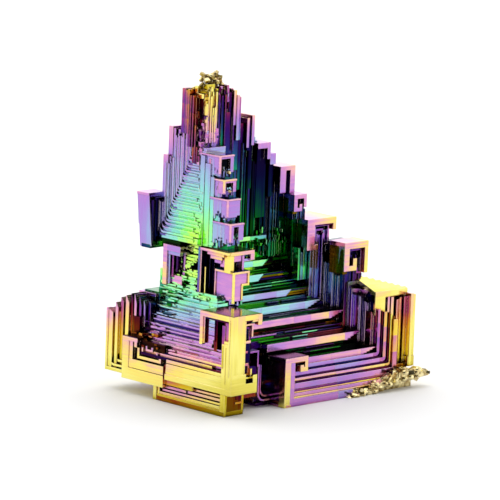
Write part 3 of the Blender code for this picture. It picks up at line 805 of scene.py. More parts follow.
def front_right_block():
    """The low hooked block at the front right, with the banded ledges that run back from it."""
    rows = grown(
        (15.2, 21.3, -1, 7.6, 8.9, 9.65, -0.6), (15.4, 21.1, -0.85, 7.6, 9.3, 9.7, Steps(9.5), 1.25),
        (15.4, 21, -0.8, 7.6, 8.5, 9.1, -0.5, 0.9), (15.2, 17, -1, 8.2, 0, 0.5, -2.6),
        (15.35, 17, -0.8, 8.6, 0.5, 1.1, -1.8, 0.4), (15.5, 17, -0.7, 8.8, 0, 1.6, Steps(5), 0.1),
        (15.9, 17, -0.4, 8.8, 0, 2.1, Steps(4.8)), (15.2, 15.7, -1, -0.2, 0, 9.6, Steps(6.6)),
        (15.35, 16.9, -0.95, 0.6, 0, 9.5, -2.4), (15.6, 17, -0.6, 2.4, 0, 9.4, Steps(4.9), -0.2, 1),
        (16.1, 17.4, -0.2, 4.6, 0, 9.3, Steps(4.6), 0, 1), (16.6, 18, 0.4, 8.8, 0, 9.2, Steps(4.2), 0.2),
        (17, 41, 2.4, 9, 0, 8.4, -2, 1),
    )
    rows += arch(
        "-Y", (15.2, 21.3), -1, 9.6, 0.9, (1.5, 9.6), (0.8, 2.9), ("far", 2, 1.3, 0.9),
        film=film_for(6.7, 18, -1, 7),
    )
    rows += arch("-Y", (17.2, 19.6), -0.2, 8.7, 0.35, (0.35, 1.8), (0.35, 1), film=-1.8, deep=0.8)
    # A dark block with painted shade fills the back of the window under the bar.
    rows.append(block((16.8, 20.6), (0.5, 2), (6.6, 9), film=-2, deep=1.2))
    # Violet ridges turn the same way on its shaded side.
    for turn in range(5):
        rows += rounded_corner(
            "-X", -0.6 + 0.75 * turn, 0.5 + 0.7 * turn, 8.4, 15.4 + 0.3 * turn, 9 - 0.3 * turn, 0.35,
            4.7 - 0.25 * turn, radius=1.3, deep=0.1 * turn - 0.4,
        )
    # The bands are nested rounded corners: down beside the post, round, and away to the right.
    for left, floor, right, plane, thick, steps, deep, rise in BANDS:
        end = right - 1.7 if rise else right
        rows += rounded_corner("-Y", left, floor, end, plane, 8.7, thick, steps, deep=deep)
        film = film_for(steps - 0.2, 36, plane, floor)
        rows += broken_run(
            (30, end), (plane - 0.03, plane + 2), (floor, floor + thick), film, drift=0.3, deep=deep,
        )
        if rise:
            rows += rounded_corner(
                "-Y", right, floor, right - 6, plane + 0.05, rise, thick, steps + 0.4, radius=0.9,
                deep=deep + 0.15, climb=0.16,
            )
    # Between the post and the hook the crystal clears the ground, mottled, with painted shade.
    for step in range(7):
        rows.append(block(
            (12, 16), (3.6 + 0.7 * step, 9), (0, 0.6 + 0.7 * step),
            film=film_for(4.4 - 0.1 * step, 11, 3, 2), deep=0.3,
        ))
    for step in range(5):
        rows.append(tinted(
            (6, 11.6 - 0.5 * step), (2.2 + 0.5 * step, 6), (2.4 + 0.2 * step, 8.5 - 0.7 * step),
            4.9, upright=1, deep=0.9,
        ))
    for turn in range(5):
        rows += rounded_corner(
            "-Y", 10.7 + 0.85 * turn, 1.3 + 0.7 * turn, 15.7, 1.9 + 0.4 * turn, 8.6 - 0.3 * turn, 0.34, 4.6,
            radius=1.8, deep=0.1,
        )
    rows += arch(
        "-Y", (7.2, 10.2), 1.4, 11.6, 0.35, (0.35, 2.4), (0.35, 3.2), film=film_for(5.1, 9, 1, 10),
        deep=0.2,
    )
    rows += arch(
        "-Y", (7.2, 9.6), 1.2, 6.6, 0.3, (0.3, 2.2), (0.3, 1.4), film=film_for(5.1, 9, 1, 5), deep=0.2,
    )
    return rows


def rounded_corner(
    facing, side, floor, end, plane, top, thick, steps, radius=1.1, depth=2.5, deep=0, climb=0,
):
    """A ridge that falls along one side, turns through a rounded corner and runs on level to its end.

    The end is at higher values than the side on a face that looks along -Y, and lower on -X. Its
    steps of colour are the same all along it, but for what they climb in each millimetre upwards.
    """
    way = 1 if end > side else -1
    into = (plane, plane + depth)
    centre = side + way * radius

    def length(along, z, **looks):
        middle, height = sum(along) / 2, sum(z) / 2
        place = (middle, plane) if facing == "-Y" else (plane, middle)
        film = film_for(steps + climb * (height - floor), *place, height)
        return facing_block(facing, along, into, z, film=film, deep=deep, tilt=0, **looks)

    fall = sorted((side, side + way * thick))
    rows = [length(sorted((centre, end)), (floor, floor + thick))]
    lengths = max(1, round((top - floor - radius) / LENGTH))
    high = (top - floor - radius) / lengths
    for number in range(lengths):
        foot = floor + radius + number * high
        rows.append(length(fall, (foot, foot + high + OVERLAP), upright=1))
    middle = radius - thick / 2
    long = 2.2 * radius * math.tan(math.radians(15))
    for angle in (15, 45, 75):
        lean = math.radians(angle)
        at = centre - way * middle * math.cos(lean)
        height = floor + radius - middle * math.sin(lean)
        # Upright at 0 degrees, level at 90.
        turn = (0, way * -angle, 0) if facing == "-Y" else (way * angle, 0, 0)
        rows.append(length(
            (at - thick / 2, at + thick / 2), (height - long / 2, height + long / 2), turn=turn,
        ))
    return rows


def terraces():
    """Fine ledges up the left face, many of them broken off part of the way along."""
    rows = grown(
        (-0.1, 3, 0.6, 23.6, 8.2, 8.75, -1, 1.1), (0.3, 3, 4, 23.6, 8.7, 9.2, 0.4),
        (0.35, 3, 8, 23, 9.2, 9.5, -1, 1.1), (0.2, 3, 0.6, 16, 9.5, 9.9, 0.2),
    )
    top = 9.7
    while top < 21.4:
        rise = draw(0.5, 0.95)
        left = heart_at(top)[0]
        far = 24.2 - 0.1 * (top - 8)
        near = 0.6 if top < 12.4 else 6.3 + 0.5 * max(0, top - 15)
        rows += left_face_line(
            left - 0.2, (near, far), (top - rise - 0.3, top), depth=3, drift=0.2, deep=-0.45,
        )
        # A thin shadowed step under the next lip, and a few broken lengths that stand proud.
        if chance.random() < 0.45:
            shadowed = 15.3 < top < 16.6 or top < 11
            rows += left_face_line(
                left - 0.1, (near, far), (top, top + 0.12), depth=3,
                deep=pick((0.9, 1.2) if shadowed else (0.2, 0.4, 0.7)),
            )
        for _ in range(2):
            start = draw(near, far - 3)
            proud = draw(0.3, 0.6)
            rows += left_face_line(
                left - proud, (start, min(far, start + draw(3, 13))),
                (top - draw(0.18, 0.4), top - 0.02), depth=1.5, drift=0.2, deep=-0.4,
            )
        top += rise
    # Scales where the terraces break up against the left corner.
    for _ in range(60):
        y = draw(18.5, 24)
        z = draw(9.5, 21)
        left = heart_at(z)[0] - draw(0, 0.6)
        film = film_for(left_face_steps(y, z) + draw(-0.8, 0.4), left, y, z)
        rows.append(block(
            (left, left + 2), stretch(y, 0.6, 2.4), stretch(z, 0.15, 0.4),
            film=film, tilt=1.5, deep=pick((0, 0.5, 1.2)),
        ))
    return rows


def pitted_patch():
    """The rough green middle of the left face, scaly above and deeply pitted below."""
    rows = []
    for _ in range(420):
        z = draw(19.8, 36)
        y = draw(11 if z > 30.5 or z < 20.6 else 14.8, 22.8)
        pitted = y > 17 and z < 25
        left = heart_at(z)[0]
        proud = draw(0.1, 0.7) if pitted else draw(0.05, 0.3)
        wide = draw(0.5, 2.4)
        high = draw(0.15, 0.55)
        dark = chance.random() < (0.4 if pitted else 0.07)
        if dark:
            wide *= 0.4
            high *= 0.5
        film = film_for(left_face_steps(y, z) + draw(-0.5, 0.3), left, y, z)
        rows.append(block(
            (left - proud - 0.3, left + 1.5), (y, y + wide), (z, z + high),
            film=film, tilt=1.5, deep=1.2 if dark else -0.4,
        ))
    return rows


def smooth_strips():
    """The smooth upright strips between the spine and the level lines of the left face."""
    rows = []
    y = 10.6
    while y < 15.4:
        wide = draw(0.7, 1.6)
        left = 7 - 0.12 * (y - 10) + draw(-0.1, 0.1)
        foot = 30.3
        while foot < (42 if y < 12.5 else 45):
            top = foot + draw(2, 3.4)
            steps = left_face_steps(y, (foot + top) / 2) + draw(-0.15, 0.15)
            film = film_for(steps, left, y, (foot + top) / 2)
            rows.append(block(
                (left, left + 1.2), (y, y + wide * 0.97), (foot, top + OVERLAP), film=film, upright=1,
                tilt=0,
            ))
            foot = top
        y += wide
    return rows


def left_fan():
    """Lines that fall between the left posts, turn a corner and run level across the left face.

    Their corners climb inwards, from the large hanging block up to the foot of the tower.
    """
    rows = []
    floor = 31
    while floor < 49.6:
        side = 26.2 - 0.42 * (floor - 29.5) + draw(-0.25, 0.25)
        front = min(4.6 + 0.26 * (floor - 28.8), 6.2 + 0.04 * (floor - 35)) + draw(-0.1, 0.1)
        thick = draw(0.22, 0.42)
        end = draw(14.2, 17)
        top = 38.3 if side > 24.9 else 46.4 if side > 22.6 else 51.6
        radius = max(0.5, 1.7 - 0.12 * (floor - 28.8)) * draw(0.7, 1.2)
        steps = 2.9 + 0.07 * (floor - 30.2) + draw(-0.3, 0.5)
        rows += rounded_corner(
            "-X", side, floor, side - radius - 1, front, top - draw(0, 1.5), thick, steps,
            radius=radius, depth=5, deep=pick((-0.3, 0, 0.3)), climb=0.05,
        )
        rows += left_face_line(front, (end, side - radius), (floor, floor + thick), drift=0.25, deep=-0.4)
        rise = draw(0.45, 0.95)
        rows += left_face_line(
            front + 0.2, (14.6, side - 0.4), (floor - rise, floor + 0.1), drift=0.25, deep=-0.4,
        )
        # Many lines end in a small tooth that hooks down.
        if chance.random() < 0.6:
            rows += left_face_line(
                front, (end, end + 0.3), (floor - draw(0.2, 0.5), floor + thick), deep=-0.3,
            )
        floor += rise
    # The lines on the shoulder end under bumpy scales, pinkest next to the gold ridge.
    for _ in range(90):
        z = draw(46, 53.6)
        y = draw(13 if z < 47.2 else 15.4, 19)
        left = heart_at(z)[0] - draw(0.4, 1.9)
        rows.append(tinted(
            (left, left + 3), stretch(y, 0.3, 0.9), stretch(z, 0.4, 1.5),
            draw(4.5, 5.3), tilt=7, deep=pick((0, 0.1, 0.5)),
        ))
    # Rounded scales where the lines run out, below the tower.
    for _ in range(46):
        z = draw(43.5, 52)
        y = draw(14.6 if z < 47.2 else 15.6, 19.6)
        left = heart_at(z)[0] - draw(0.2, 1.2)
        rows.append(block(
            (left, left + 2.5), stretch(y, 0.4, 1.3), stretch(z, 0.4, 1.8),
            film=film_for(draw(3.8, 5.2), left, y, z), tilt=5, deep=pick((0, 0, 0.5)),
        ))
    return rows


def left_frame():
    """The low frame of the left corner, with a hook nested in its mouth."""
    rows = grown(
        (-0.5, 6, 16.7, 28.4, 2.8, 5.1, 0.5), (-0.4, 6, 16.8, 28.3, 5.2, 6.9, 0.5),
        (-0.5, 6, 26.6, 28.4, 2.8, 11.1, 0.6), (-0.35, 6, 25.6, 27, 3, 10.9, 0.5),
        (-0.5, 4, 24.2, 28.4, 10.4, 11.1, 0.9), (-0.4, 4, 24.3, 28.2, 10.9, 11.25, -0.4, 0.9),
        (-0.5, 0.6, 24.3, 25, 9.4, 10.9, 0.9), (0.3, 4, 17.2, 26, 6.5, 10.9, Steps(6.5), 1.6),
    )
    for _ in range(34):
        y = draw(17.6, 25.6)
        z = draw(9.2, 12.2)
        left = draw(-0.2, 1.6)
        rows.append(tinted(
            (left, left + 2.5), stretch(y, 0.3, 1.6), stretch(z, 0.15, 0.6),
            draw(5.6, 7), tilt=3, deep=pick((0.5, 0.9, 1.3)),
        ))
    # The nested hook, each turn thinner and further in.
    for side, floor, near, top, plane, thick, film in (
        (24.3, 7.3, 17.6, 9.4, -0.3, 0.55, 0.6),
        (23.3, 8.2, 18.8, 9.6, -0.1, 0.4, 0.3),
        (22.4, 9, 20.4, 10, 0.1, 0.4, 0),
    ):
        rows.append(block((plane, 4), (side - thick, side), (floor, top), film=film))
        rows.append(block((plane, 4), (near, side), (floor, floor + thick), film=film))
        rows.append(block((plane, 4), (near, near + thick), (floor, floor + 0.9), film=film - 0.5))
    return rows


def left_pleats():
    """The thin upright sheets of the left corner, their tops sloping up away from the heart."""
    rows = []
    for front, low, high, foot, top, fall, film, deep in LEFT_SHEETS:
        strips = 5
        wide = (high - low) / strips
        for strip in range(strips):
            drop = fall * (strips - 1 - strip) / (strips - 1)
            rows.append(block(
                (front, 8), (low + strip * wide, low + (strip + 1) * wide + OVERLAP), (foot, top - drop),
                film=film, upright=1, tilt=0, deep=deep,
            ))
    rows += grown(
        (1.3, 7.6, 25.6, 32.4, 3.8, 15, Steps(6.6), 1.3, 1), (3, 7.2, 25.6, 31.4, 12, 17.6, -2, 1.1, 1),
        (5.2, 9, 23.7, 28.6, 12, 19.7, -0.6, 0.9, 1), (4.4, 8.6, 24.6, 29.4, 18.8, 19.4, 2.6),
        (-0.45, 1, 28.4, 33.3, 3.6, 4.3, 0.8), (-0.45, 0.6, 32.8, 33.3, 3.6, 15.9, 0.8),
    )
    # Each sheet of the outer corner turns through a rounded foot.
    for step in range(3):
        rows += rounded_corner(
            "-X", 32.4 - 0.9 * step, 4.6 + 0.9 * step, 28, -0.25 + 0.4 * step, 13 + 1.2 * step,
            0.45, 7.6 - 0.3 * step, radius=1.4,
        )
    rows += pleats("-X", (23.7, 28.6), 5.2, (10.5, 19.6), 0.5, 0.7, film=-0.4, deep=0.9)
    rows += pleats("-X", (28.4, 32.6), 1.5, (4.6, 15.4), 0.5, 0.8, fall=2.5, film=-0.8, deep=0.6)
    return rows


def left_posts():
    """The stepped posts of the left-hand skyline, and the small frame under the largest."""
    rows = grown(
        (6.3, 8, 18.7, 19.3, 23, 29.5, Steps(4.6)), (4.9, 8, 22.4, 23.5, 21.6, 26, 5.4),
        (4.9, 8, 22.4, 23.5, 25, 29.5, 4.4), (5.2, 8, 21.8, 22.6, 21.8, 29.2, 2.4),
        (4.9, 8, 18.7, 23.5, 28.3, 29.5, 3.6), (5.1, 8, 19, 23.2, 27.6, 28.5, 2.8),
        (5.4, 8, 21, 21.4, 23.2, 28, 4.4, 0.4), (5.4, 8, 19.9, 20.2, 24.4, 28, 4, 0.8),
        (6.6, 8, 19, 22.6, 22, 28.6, 3, 1.5), (5.6, 8, 18.7, 23.5, 21.6, 23.6, 4.6),
    )
    # The large hanging block.
    rows += [
        tinted((4, 8.2), (26.5, 29.7), (28.4, 38.8), 3.2, upright=1, turn=(-6, 0, 0)),
        tinted((4.1, 8), (28.9, 30.2), (32.6, 38.7), 3.5, upright=1, turn=(-6, 0, 0)),
    ]
    rows += grown(
        (3.9, 8.4, 27, 30.4, 38.4, 38.9, Steps(4.6)), (3.95, 8, 26.2, 28.7, 28.2, 28.9, Steps(2.1), 0.9),
        (4.3, 8, 26, 26.6, 29.4, 37.6, Steps(3), 0.9, 1),
        (4.6, 8, 25.5, 26.1, 29.8, 38.2, Steps(3), 1.2, 1),
        # A block with strong painted shade stands for the dark hollow under the lowest lines of the fan.
        (5.4, 8, 19.3, 24.4, 28.9, 30.4, -1, 1.6),
    )
    rows.append(block((7.2, 9.5), (19.5, 27.4), (30, 37.8), film=0.8, deep=0.6))
    rows += grown(
        (6, 9.5, 24.2, 25.5, 39.2, 46.7, 2, 0, 1), (6.3, 9.5, 23.7, 24.3, 38, 46.4, 1.2, 0, 1),
        (6.4, 9.5, 22.7, 23.4, 36, 46, 0.8, 0, 1), (6.8, 9.5, 22, 22.5, 36, 46.2, 0.4, 0, 1),
        (7, 9.5, 21, 21.8, 36, 46.8, 0.6, 0, 1), (6.5, 9.5, 23.5, 24.7, 45.8, 52.3, 1, 0, 1),
        (6.6, 9.5, 22.9, 23.4, 45, 52, 0.4, 0, 1), (7, 9.5, 22, 22.6, 44, 51.8, 0.2, 0, 1),
        (7.2, 9.5, 21.2, 21.7, 44, 51, 0, 0, 1),
    )
    return rows


def tower():
    """The fluted top of the tower: dull flutes on the left, a gold ridge, dark purple on the right."""
    rows = grown(
        (7.4, 15.2, 16.4, 21, 46, 59, -0.6, 1.2, 1), (7.2, 9.6, 17.8, 18.6, 52, 60.8, 0.2, 0, 1),
        (8.4, 10.2, 16.2, 17.4, 52, 61.2, 1.4, 0.1, 1), (8.8, 9.6, 15.9, 17, 50, 60.4, 0.8, 0, 1),
        (11.6, 12.2, 15.6, 18.6, 49, 58.9, -1.8, 0.8, 1), (13.6, 14.2, 15.6, 18.6, 53, 59.4, -1.6, 0.9, 1),
        (14.5, 15.2, 15.2, 18.6, 53, 59.8, Steps(5.3), 0, 1),
    )
    rows += pleats("-X", (18.8, 21), 6.2, (51.5, 60.4), 0.8, 0.3, fall=0.5, steps=(5.1, 5.8), deep=0.35)
    rows += pleats("-X", (17.4, 21.2), 6.9, (49, 60.2), 0.45, 0.9, fall=1.6, steps=(5.1, 6.2), deep=0.6)
    rows += pleats("-X", (16.2, 20.4), 7, (46, 54), 0.5, 0.7, fall=5, steps=(4.4, 5.4), deep=0.6)
    rows += pleats("-Y", (10.4, 15.4), 16.2, (48, 59.4), 0.45, 1, fall=3, steps=(4.1, 5.2), deep=1)
    rows += pleats("-Y", (7.6, 10.6), 16, (50, 60.8), 0.35, 0.7, fall=5, steps=(5.4, 7.4), deep=-0.2)
    rows += pleats("+X", (16.4, 21), 15.2, (47, 59), 0.5, 0.6, fall=3, deep=0.6)
    rows += pleats("+Y", (7.4, 15.2), 21, (47, 59.4), 0.5, 0.6, fall=3, deep=0.6)
    # Ragged growth between the flutes, thickest under the tip.
    for _ in range(110):
        x = draw(7, 15)
        z = 61 - abs(chance.gauss(0, 3.6))
        if z < 48:
            continue
        y = draw(15.6, 17)
        film = draw(0.2, 1.4) if x < 10.4 else draw(-2.2, -0.8)
        rows.append(block(
            stretch(x, 0.3, 0.8), (y, y + 2), (z - draw(0.3, 1.6), z),
            film=film, tilt=6, deep=pick((-0.2, 0.2, 0.9)),
        ))
    # A paler, scaly growth runs down the front between the gold ridge and the spine.
    for _ in range(90):
        x = chance.triangular(7.2, 10.4, 8.6)
        z = draw(47.6, 55.4)
        y = 15.7 + draw(-0.3, 0.3)
        rows.append(tinted(
            stretch(x, 0.2, 0.6), (y, y + 0.8), (z - draw(0.3, 1.2), z),
            draw(3.2, 4.8), tilt=8, deep=pick((-0.3, 0, 0.5)),
        ))
    # Broad violet flutes stand to the right of it.
    for x, y, top, steps, deep in (
        ((12.4, 13.8), (15.5, 18), 55.6, 3.9, 0.75), ((11.2, 12.2), (15.8, 18), 53.4, 4.3, 0.3),
        ((9.6, 10.8), (15.8, 18), 51, 4, 1.1), ((13.9, 15), (15.8, 18), 51.4, 4.2, 0.9),
    ):
        rows.append(tinted(x, y, (46, top), steps, upright=1, deep=deep))
    return rows


def far_post(left, right, front, back, foot, top, drop):
    """A post at the far corner: a plate on a corner column, with hooked rims and pleats below it."""
    column = 1.9
    film = draw(-0.5, 0.5)
    rows = grown(
        (left, right, front, back, top - 1.1, top, film + 0.4),
        (right - column, right, back - column, back, foot, top, film),
        (left, right - 1.4, front, back - 1.4, foot, top - 0.6, film - 2),
        (left, right - 0.8, front + 1.5, back - 2.6, foot + 0.6, top - drop - 0.7, film - 1),
        (left + 1, right - 1.9, front, back - 0.8, foot + 1, top - drop - 1.2, film - 1),
    )
    rows += arch(
        "+Y", (left, right), back, top, 1.2, (1.3, drop), (column, drop), ("near", 3.2, 2, 0.9), film=film,
    )
    rows += arch("+X", (front, back), right, top, 1.2, (1.2, drop - 1), (column, drop), film=film)
    rows += pleats(
        "+Y", (left + 0.6, right - column), back - 1.3, (foot, top - drop), 0.8, 0.7, film=film - 1.6,
    )
    rows += pleats(
        "+X", (front + 1, back - column), right - 1.3, (foot, top - drop), 0.8, 0.7, film=film - 1.6,
    )
    rows += arch(
        "+Y", (left + 1.6, right - 2.2), back - 0.5, top - 1.3, 0.4, (0.4, drop - 2.2), (0.4, drop - 1.6),
        ("far", 1.6, 1.2, 0.4), film=film - 1.2,
    )
    return rows


def far_side():
    """The posts and rims of the two far faces, which are hollow between their corners."""
    rows = []
    # Left, right, front, back, lower edge, top, and how far the rims hang.
    for post in (
        (43.4, 50.2, 25, 32.8, 3.8, 17.2, 6), (37, 43.2, 24, 30.5, 8, 25.5, 5.2),
        (31.2, 37.6, 22.8, 28.9, 12, 31.6, 5.6), (25.6, 30.6, 21.8, 27.6, 16, 39.7, 4.6),
        (20.4, 24.8, 21.2, 26.3, 20, 46.1, 4.2), (15.1, 18.7, 20.4, 24.7, 24, 53.3, 3.8),
    ):
        rows += far_post(*post)
    # The banded sills under the two hollows.
    for step in range(8):
        inset = 0.45 * step
        rise = 4.9 + 0.62 * step
        shade = draw(-1.2, 0.6) - 0.2 * step
        rows.append(block((3 + inset, 46), (26, 32.2 - inset), (3.9, rise), film=shade))
        rows.append(block((42, 49.4 - inset), (5, 27), (3.9, rise), film=shade))
    rows += pleats("+Y", (8.4, 37), 29.6, (5, 14), 1.1, 1.6, fall=4, film=-1.2)
    rows += pleats("+X", (8, 24.8), 47.4, (5, 15), 1, 1.4, fall=4, film=-1.6)
    rows += pleats("+Y", (9, 31), 27.4, (12, 24), 1.1, 1.3, fall=6, film=-0.8)
    # Broken level steps up the two faces.
    for _ in range(110):
        z = draw(10, 50)
        left, right, far_right, far_left = heart_at(z)
        proud = draw(0.1, 0.8)
        if chance.random() < 0.6:
            start = draw(left + 1, max(left + 2, far_right - 5))
            rows.append(block(
                stretch(start, 1.5, 6), (far_left - 2, far_left + proud),
                stretch(z, 0.3, 0.9), film=draw(-0.8, 0.8),
            ))
        else:
            start = draw(max(right + 2, far_left - 9), far_left - 1)
            rows.append(block(
                (far_right - 2, far_right + proud), stretch(start, 1, 4),
                stretch(z, 0.3, 0.9), film=draw(-0.8, 0.8),
            ))
    return rows


def lump(centre, radius):
    """A small droplet of bare frozen metal, a little flattened."""
    wide = draw(1, 1.3)
    return Block(Vector(centre), Vector((wide, 1, 0.8)) * 2 * radius, None, 0, 0, 1, 0)


def crust():
    """The lumpy skin of metal that froze under the right side, and the droplets on the tip."""
    rows = [
        Block(Vector((38, 1, 0.6)), Vector((10, 3.6, 1.2)), [0, 0, 0], 0, 0, 1, 0.4),
        Block(Vector((46.5, 1.4, 1.6)), Vector((9, 3.6, 3.2)), [0, 0, 0], 0, 0, 1, 0.4),
    ]
    for low, high in zip(CRUST_PATH, CRUST_PATH[1:]):
        for number in range(26):
            share = chance.random()
            x, y, z, half = [a + share * (b - a) for a, b in zip(low, high)]
            centre = (x, y + draw(-0.5, 1.3), z + draw(-0.7, 0.7) * half)
            if number % 3:
                size = Vector((draw(0.9, 2.4), draw(0.6, 1.4), half * draw(0.5, 1)))
                turn = [draw(-30, 30) for _ in range(3)]
                rows.append(Block(Vector(centre), size, turn, 0, 0, 1, 0))
            else:
                rows.append(lump(centre, half * draw(0.4, 0.8)))
    for _ in range(60):
        centre = (chance.gauss(11, 1.8), chance.gauss(18, 0.9), draw(59.8, 63.1))
        if not (7.4 < centre[0] < 14.6 and 16.2 < centre[1] < 20.4):
            continue
        size = Vector([draw(0.4, 1) for _ in range(3)])
        turn = [draw(-45, 45) for _ in range(3)]
        rows.append(Block(Vector(centre), size, turn, 1.6, 0, pick((0.3, 0.8)), draw(0.2, 0.8)))
    for centre, radius in (
        ((10.2, 17.4, 62.7), 0.55), ((12.3, 18.3, 62.1), 0.6), ((11.2, 19.4, 63), 0.6),
        ((9.2, 19, 61.7), 0.5), ((13.2, 17.6, 60.8), 0.5), ((11.4, 17, 61.6), 0.4),
        ((8.6, 9.6, 41.4), 0.45), ((9.2, 10.6, 44.9), 0.45), ((9.6, 10.8, 44.7), 0.35),
    ):
        rows.append(lump(centre, radius))
    return rows


def turns_of(part, size):
    """A block's turns about X, Y and Z, as matrices of that size."""
    return [Matrix.Rotation(math.radians(angle), size, axis) for angle, axis in zip(part.turn, "XYZ")]


def shape_of(bm, part):
    """Adds one block or droplet to a mesh, with its looks on its faces."""
    if part.turn is None:
        place = Matrix.Translation(part.middle) @ Matrix.Diagonal((*part.size, 1))
        verts = bmesh.ops.create_icosphere(bm, subdivisions=2, radius=0.5, matrix=place)["verts"]
    else:
        turn = turns_of(part, 4)
        place = Matrix.Translation(part.middle) @ turn[2] @ turn[1] @ turn[0]
        place = place @ Matrix.Diagonal((*part.size, 1))
        verts = bmesh.ops.create_cube(bm, size=1, matrix=place)["verts"]
    looks = [bm.faces.layers.float[name] for name in LOOKS]
    for face in {face for vert in verts for face in vert.link_faces}:
        for layer, value in zip(looks, (part.film, part.upright, part.bare, part.deep)):
            face[layer] = value


def reach(part):
    """The lowest and highest corner of the space that a block may take up, turned as it is."""
    half = part.size / 2
    if part.turn is not None and any(abs(angle) > 0.001 for angle in part.turn):
        turn = turns_of(part, 3)
        place = turn[2] @ turn[1] @ turn[0]
        half = Vector([sum(abs(place[row][k]) * half[k] for k in range(3)) for row in range(3)])
    room = Vector([CLEARANCE] * 3)
    return part.middle - half - room, part.middle + half + room


def clear_layers(parts):
    """Sorts the blocks into layers in which no two touch, so that each layer is one clean mesh."""
    layers = []
    for part in parts:
        low, high = reach(part)
        for layer in layers:
            if not any(
                low.x < b.x and a.x < high.x and low.y < b.y and a.y < high.y
                and low.z < b.z and a.z < high.z
                for a, b, _ in layer
            ):
                layer.append((low, high, part))
                break
        else:
            layers.append([(low, high, part)])
    return [[part for _, _, part in layer] for layer in layers]


def mesh_of(parts):
    """One mesh of blocks that stand clear of each other."""
    bm = bmesh.new()
    for name in LOOKS:
        bm.faces.layers.float.new(name)
    for part in parts:
        shape_of(bm, part)
    mesh = bpy.data.meshes.new("growth")
    bm.to_mesh(mesh)
    bm.free()
    return mesh


def grown_together(meshes, cutter):
    """The union of closed meshes, joined two by two, and then cut flat along the ground."""
    whole = bpy.data.objects.new("whole", meshes[0])
    other = bpy.data.objects.new("other", meshes[0])
    for thing in (whole, other):
        bpy.context.scene.collection.objects.link(thing)
    join = whole.modifiers.new("join", "BOOLEAN")
    join.solver = "MANIFOLD"
    join.object = other

    def joined(first, second, operation):
        join.operation = operation
        whole.data, other.data = first, second
        graph = bpy.context.evaluated_depsgraph_get()
        graph.update()
        mesh = bpy.data.meshes.new_from_object(whole.evaluated_get(graph))
        whole.data = other.data = mesh
        for old in (first, second):
            bpy.data.meshes.remove(old)
        return mesh

    while len(meshes) > 1:
        pairs = [joined(a, b, "UNION") for a, b in zip(meshes[::2], meshes[1::2])]
        meshes = pairs + meshes[len(pairs) * 2:]
    mesh = joined(meshes[0], cutter, "DIFFERENCE")
    for thing in (whole, other):
        bpy.data.objects.remove(thing)
    return mesh


def keep_whole(bm):
    """Leaves only the largest connected shape, so that nothing floats inside or beside it."""
    shells = []
    for face in bm.faces:
        face.tag = False
    for first in bm.faces:
        if first.tag:
            continue
        first.tag = True
        shell = [first]
        for face in shell:
            for edge in face.edges:
                for near in edge.link_faces:
                    if not near.tag:
                        near.tag = True
                        shell.append(near)
        shells.append(shell)
    shells.sort(key=len)
    for shell in shells[:-1]:
        bmesh.ops.delete(bm, geom=shell, context="FACES")


def crystal(low, high):
    """The whole crystal as one piece, moved from its own axes into the frame's."""
    parts = []
    for growth in (
        heart, right_wall, ledges, front_foot, first_frame, second_frame, edge_blocks, right_posts,
        dark_columns, front_right_block, terraces, pitted_patch, smooth_strips, left_fan,
        left_frame, left_pleats, left_posts, tower, far_side, crust,
    ):
        parts += growth()
    ground = [block(GROUND_SPAN, GROUND_SPAN, (GROUND_FOOT, 0), tilt=0)]
    mesh = grown_together([mesh_of(layer) for layer in clear_layers(parts)], mesh_of(ground))
    bm = bmesh.new()
    bm.from_mesh(mesh)
    bpy.data.meshes.remove(mesh)
    keep_whole(bm)
    shift = axes_shift(low, high)
    bmesh.ops.translate(bm, verts=bm.verts, vec=-shift)
    bmesh.ops.scale(bm, verts=bm.verts, vec=(MM, MM, MM))
    # Nothing grows past the frame's own size.
    for vert in bm.verts:
        vert.co = [min(max(at, a - SPARE), b + SPARE) for at, a, b in zip(vert.co, low, high)]
    piece = bpy.data.objects.new("grown_bismuth", bpy.data.meshes.new("grown_bismuth"))
    bm.to_mesh(piece.data)
    bm.free()
    bpy.context.scene.collection.objects.link(piece)
    return piece


def axes_shift(low, high):
    """Where the frame's origin lies on the crystal's own axes, in millimetres."""
    return Vector((LEFTMOST_FACE - low.x / MM, FARTHEST_LEFT_SHEET - high.y / MM, 0))


class Nodes:
    """Adds and links shader nodes in one tree."""

    def __init__(self, tree):
        self.tree = tree

    def add(self, kind, **settings):
        node = self.tree.nodes.new(kind)
        for name, value in settings.items():
            setattr(node, name, value)
        return node

    def put(self, node, **values):
        """Sets or links inputs, named by their place (in0, in1) or by their own name."""
        for name, value in values.items():
            numbered = name[:2] == "in" and name[2:].isdigit()
            socket = node.inputs[int(name[2:]) if numbered else name]
            if isinstance(value, bpy.types.NodeSocket):
                self.tree.links.new(value, socket)
            else:
                socket.default_value = value
        return node

    def math(self, operation, a, b=0, c=0, clamp=False):
        node = self.add("ShaderNodeMath", operation=operation, use_clamp=clamp)
        self.put(node, in0=a, in1=b, in2=c)
        return node.outputs[0]

    def vector(self, operation, a, b=(0, 0, 0), output="Vector"):
        node = self.add("ShaderNodeVectorMath", operation=operation)
        self.put(node, in0=a, in1=b)
        return node.outputs[output]

    def blend(self, kind, share, a, b):
        """Mixes two colours, or two numbers, by a share."""
        node = self.add("ShaderNodeMix", data_type=kind)
        first, second = (6, 7) if kind == "RGBA" else (2, 3)
        self.put(node, **{"in0": share, f"in{first}": a, f"in{second}": b})
        return node.outputs[2 if kind == "RGBA" else 0]

    def noise(self, at, scale, detail=2, roughness=0.5):
        node = self.add("ShaderNodeTexNoise")
        self.put(node, Vector=at, Scale=scale, Detail=detail, Roughness=roughness)
        return node.outputs["Fac"]


def linear(red, green, blue):
    """A screen colour, each part from 0 to 255, as the light it stands for."""
    parts = [value / 255 for value in (red, green, blue)]
    return [p / 12.92 if p <= 0.04045 else ((p + 0.055) / 1.055) ** 2.4 for p in parts] + [1]


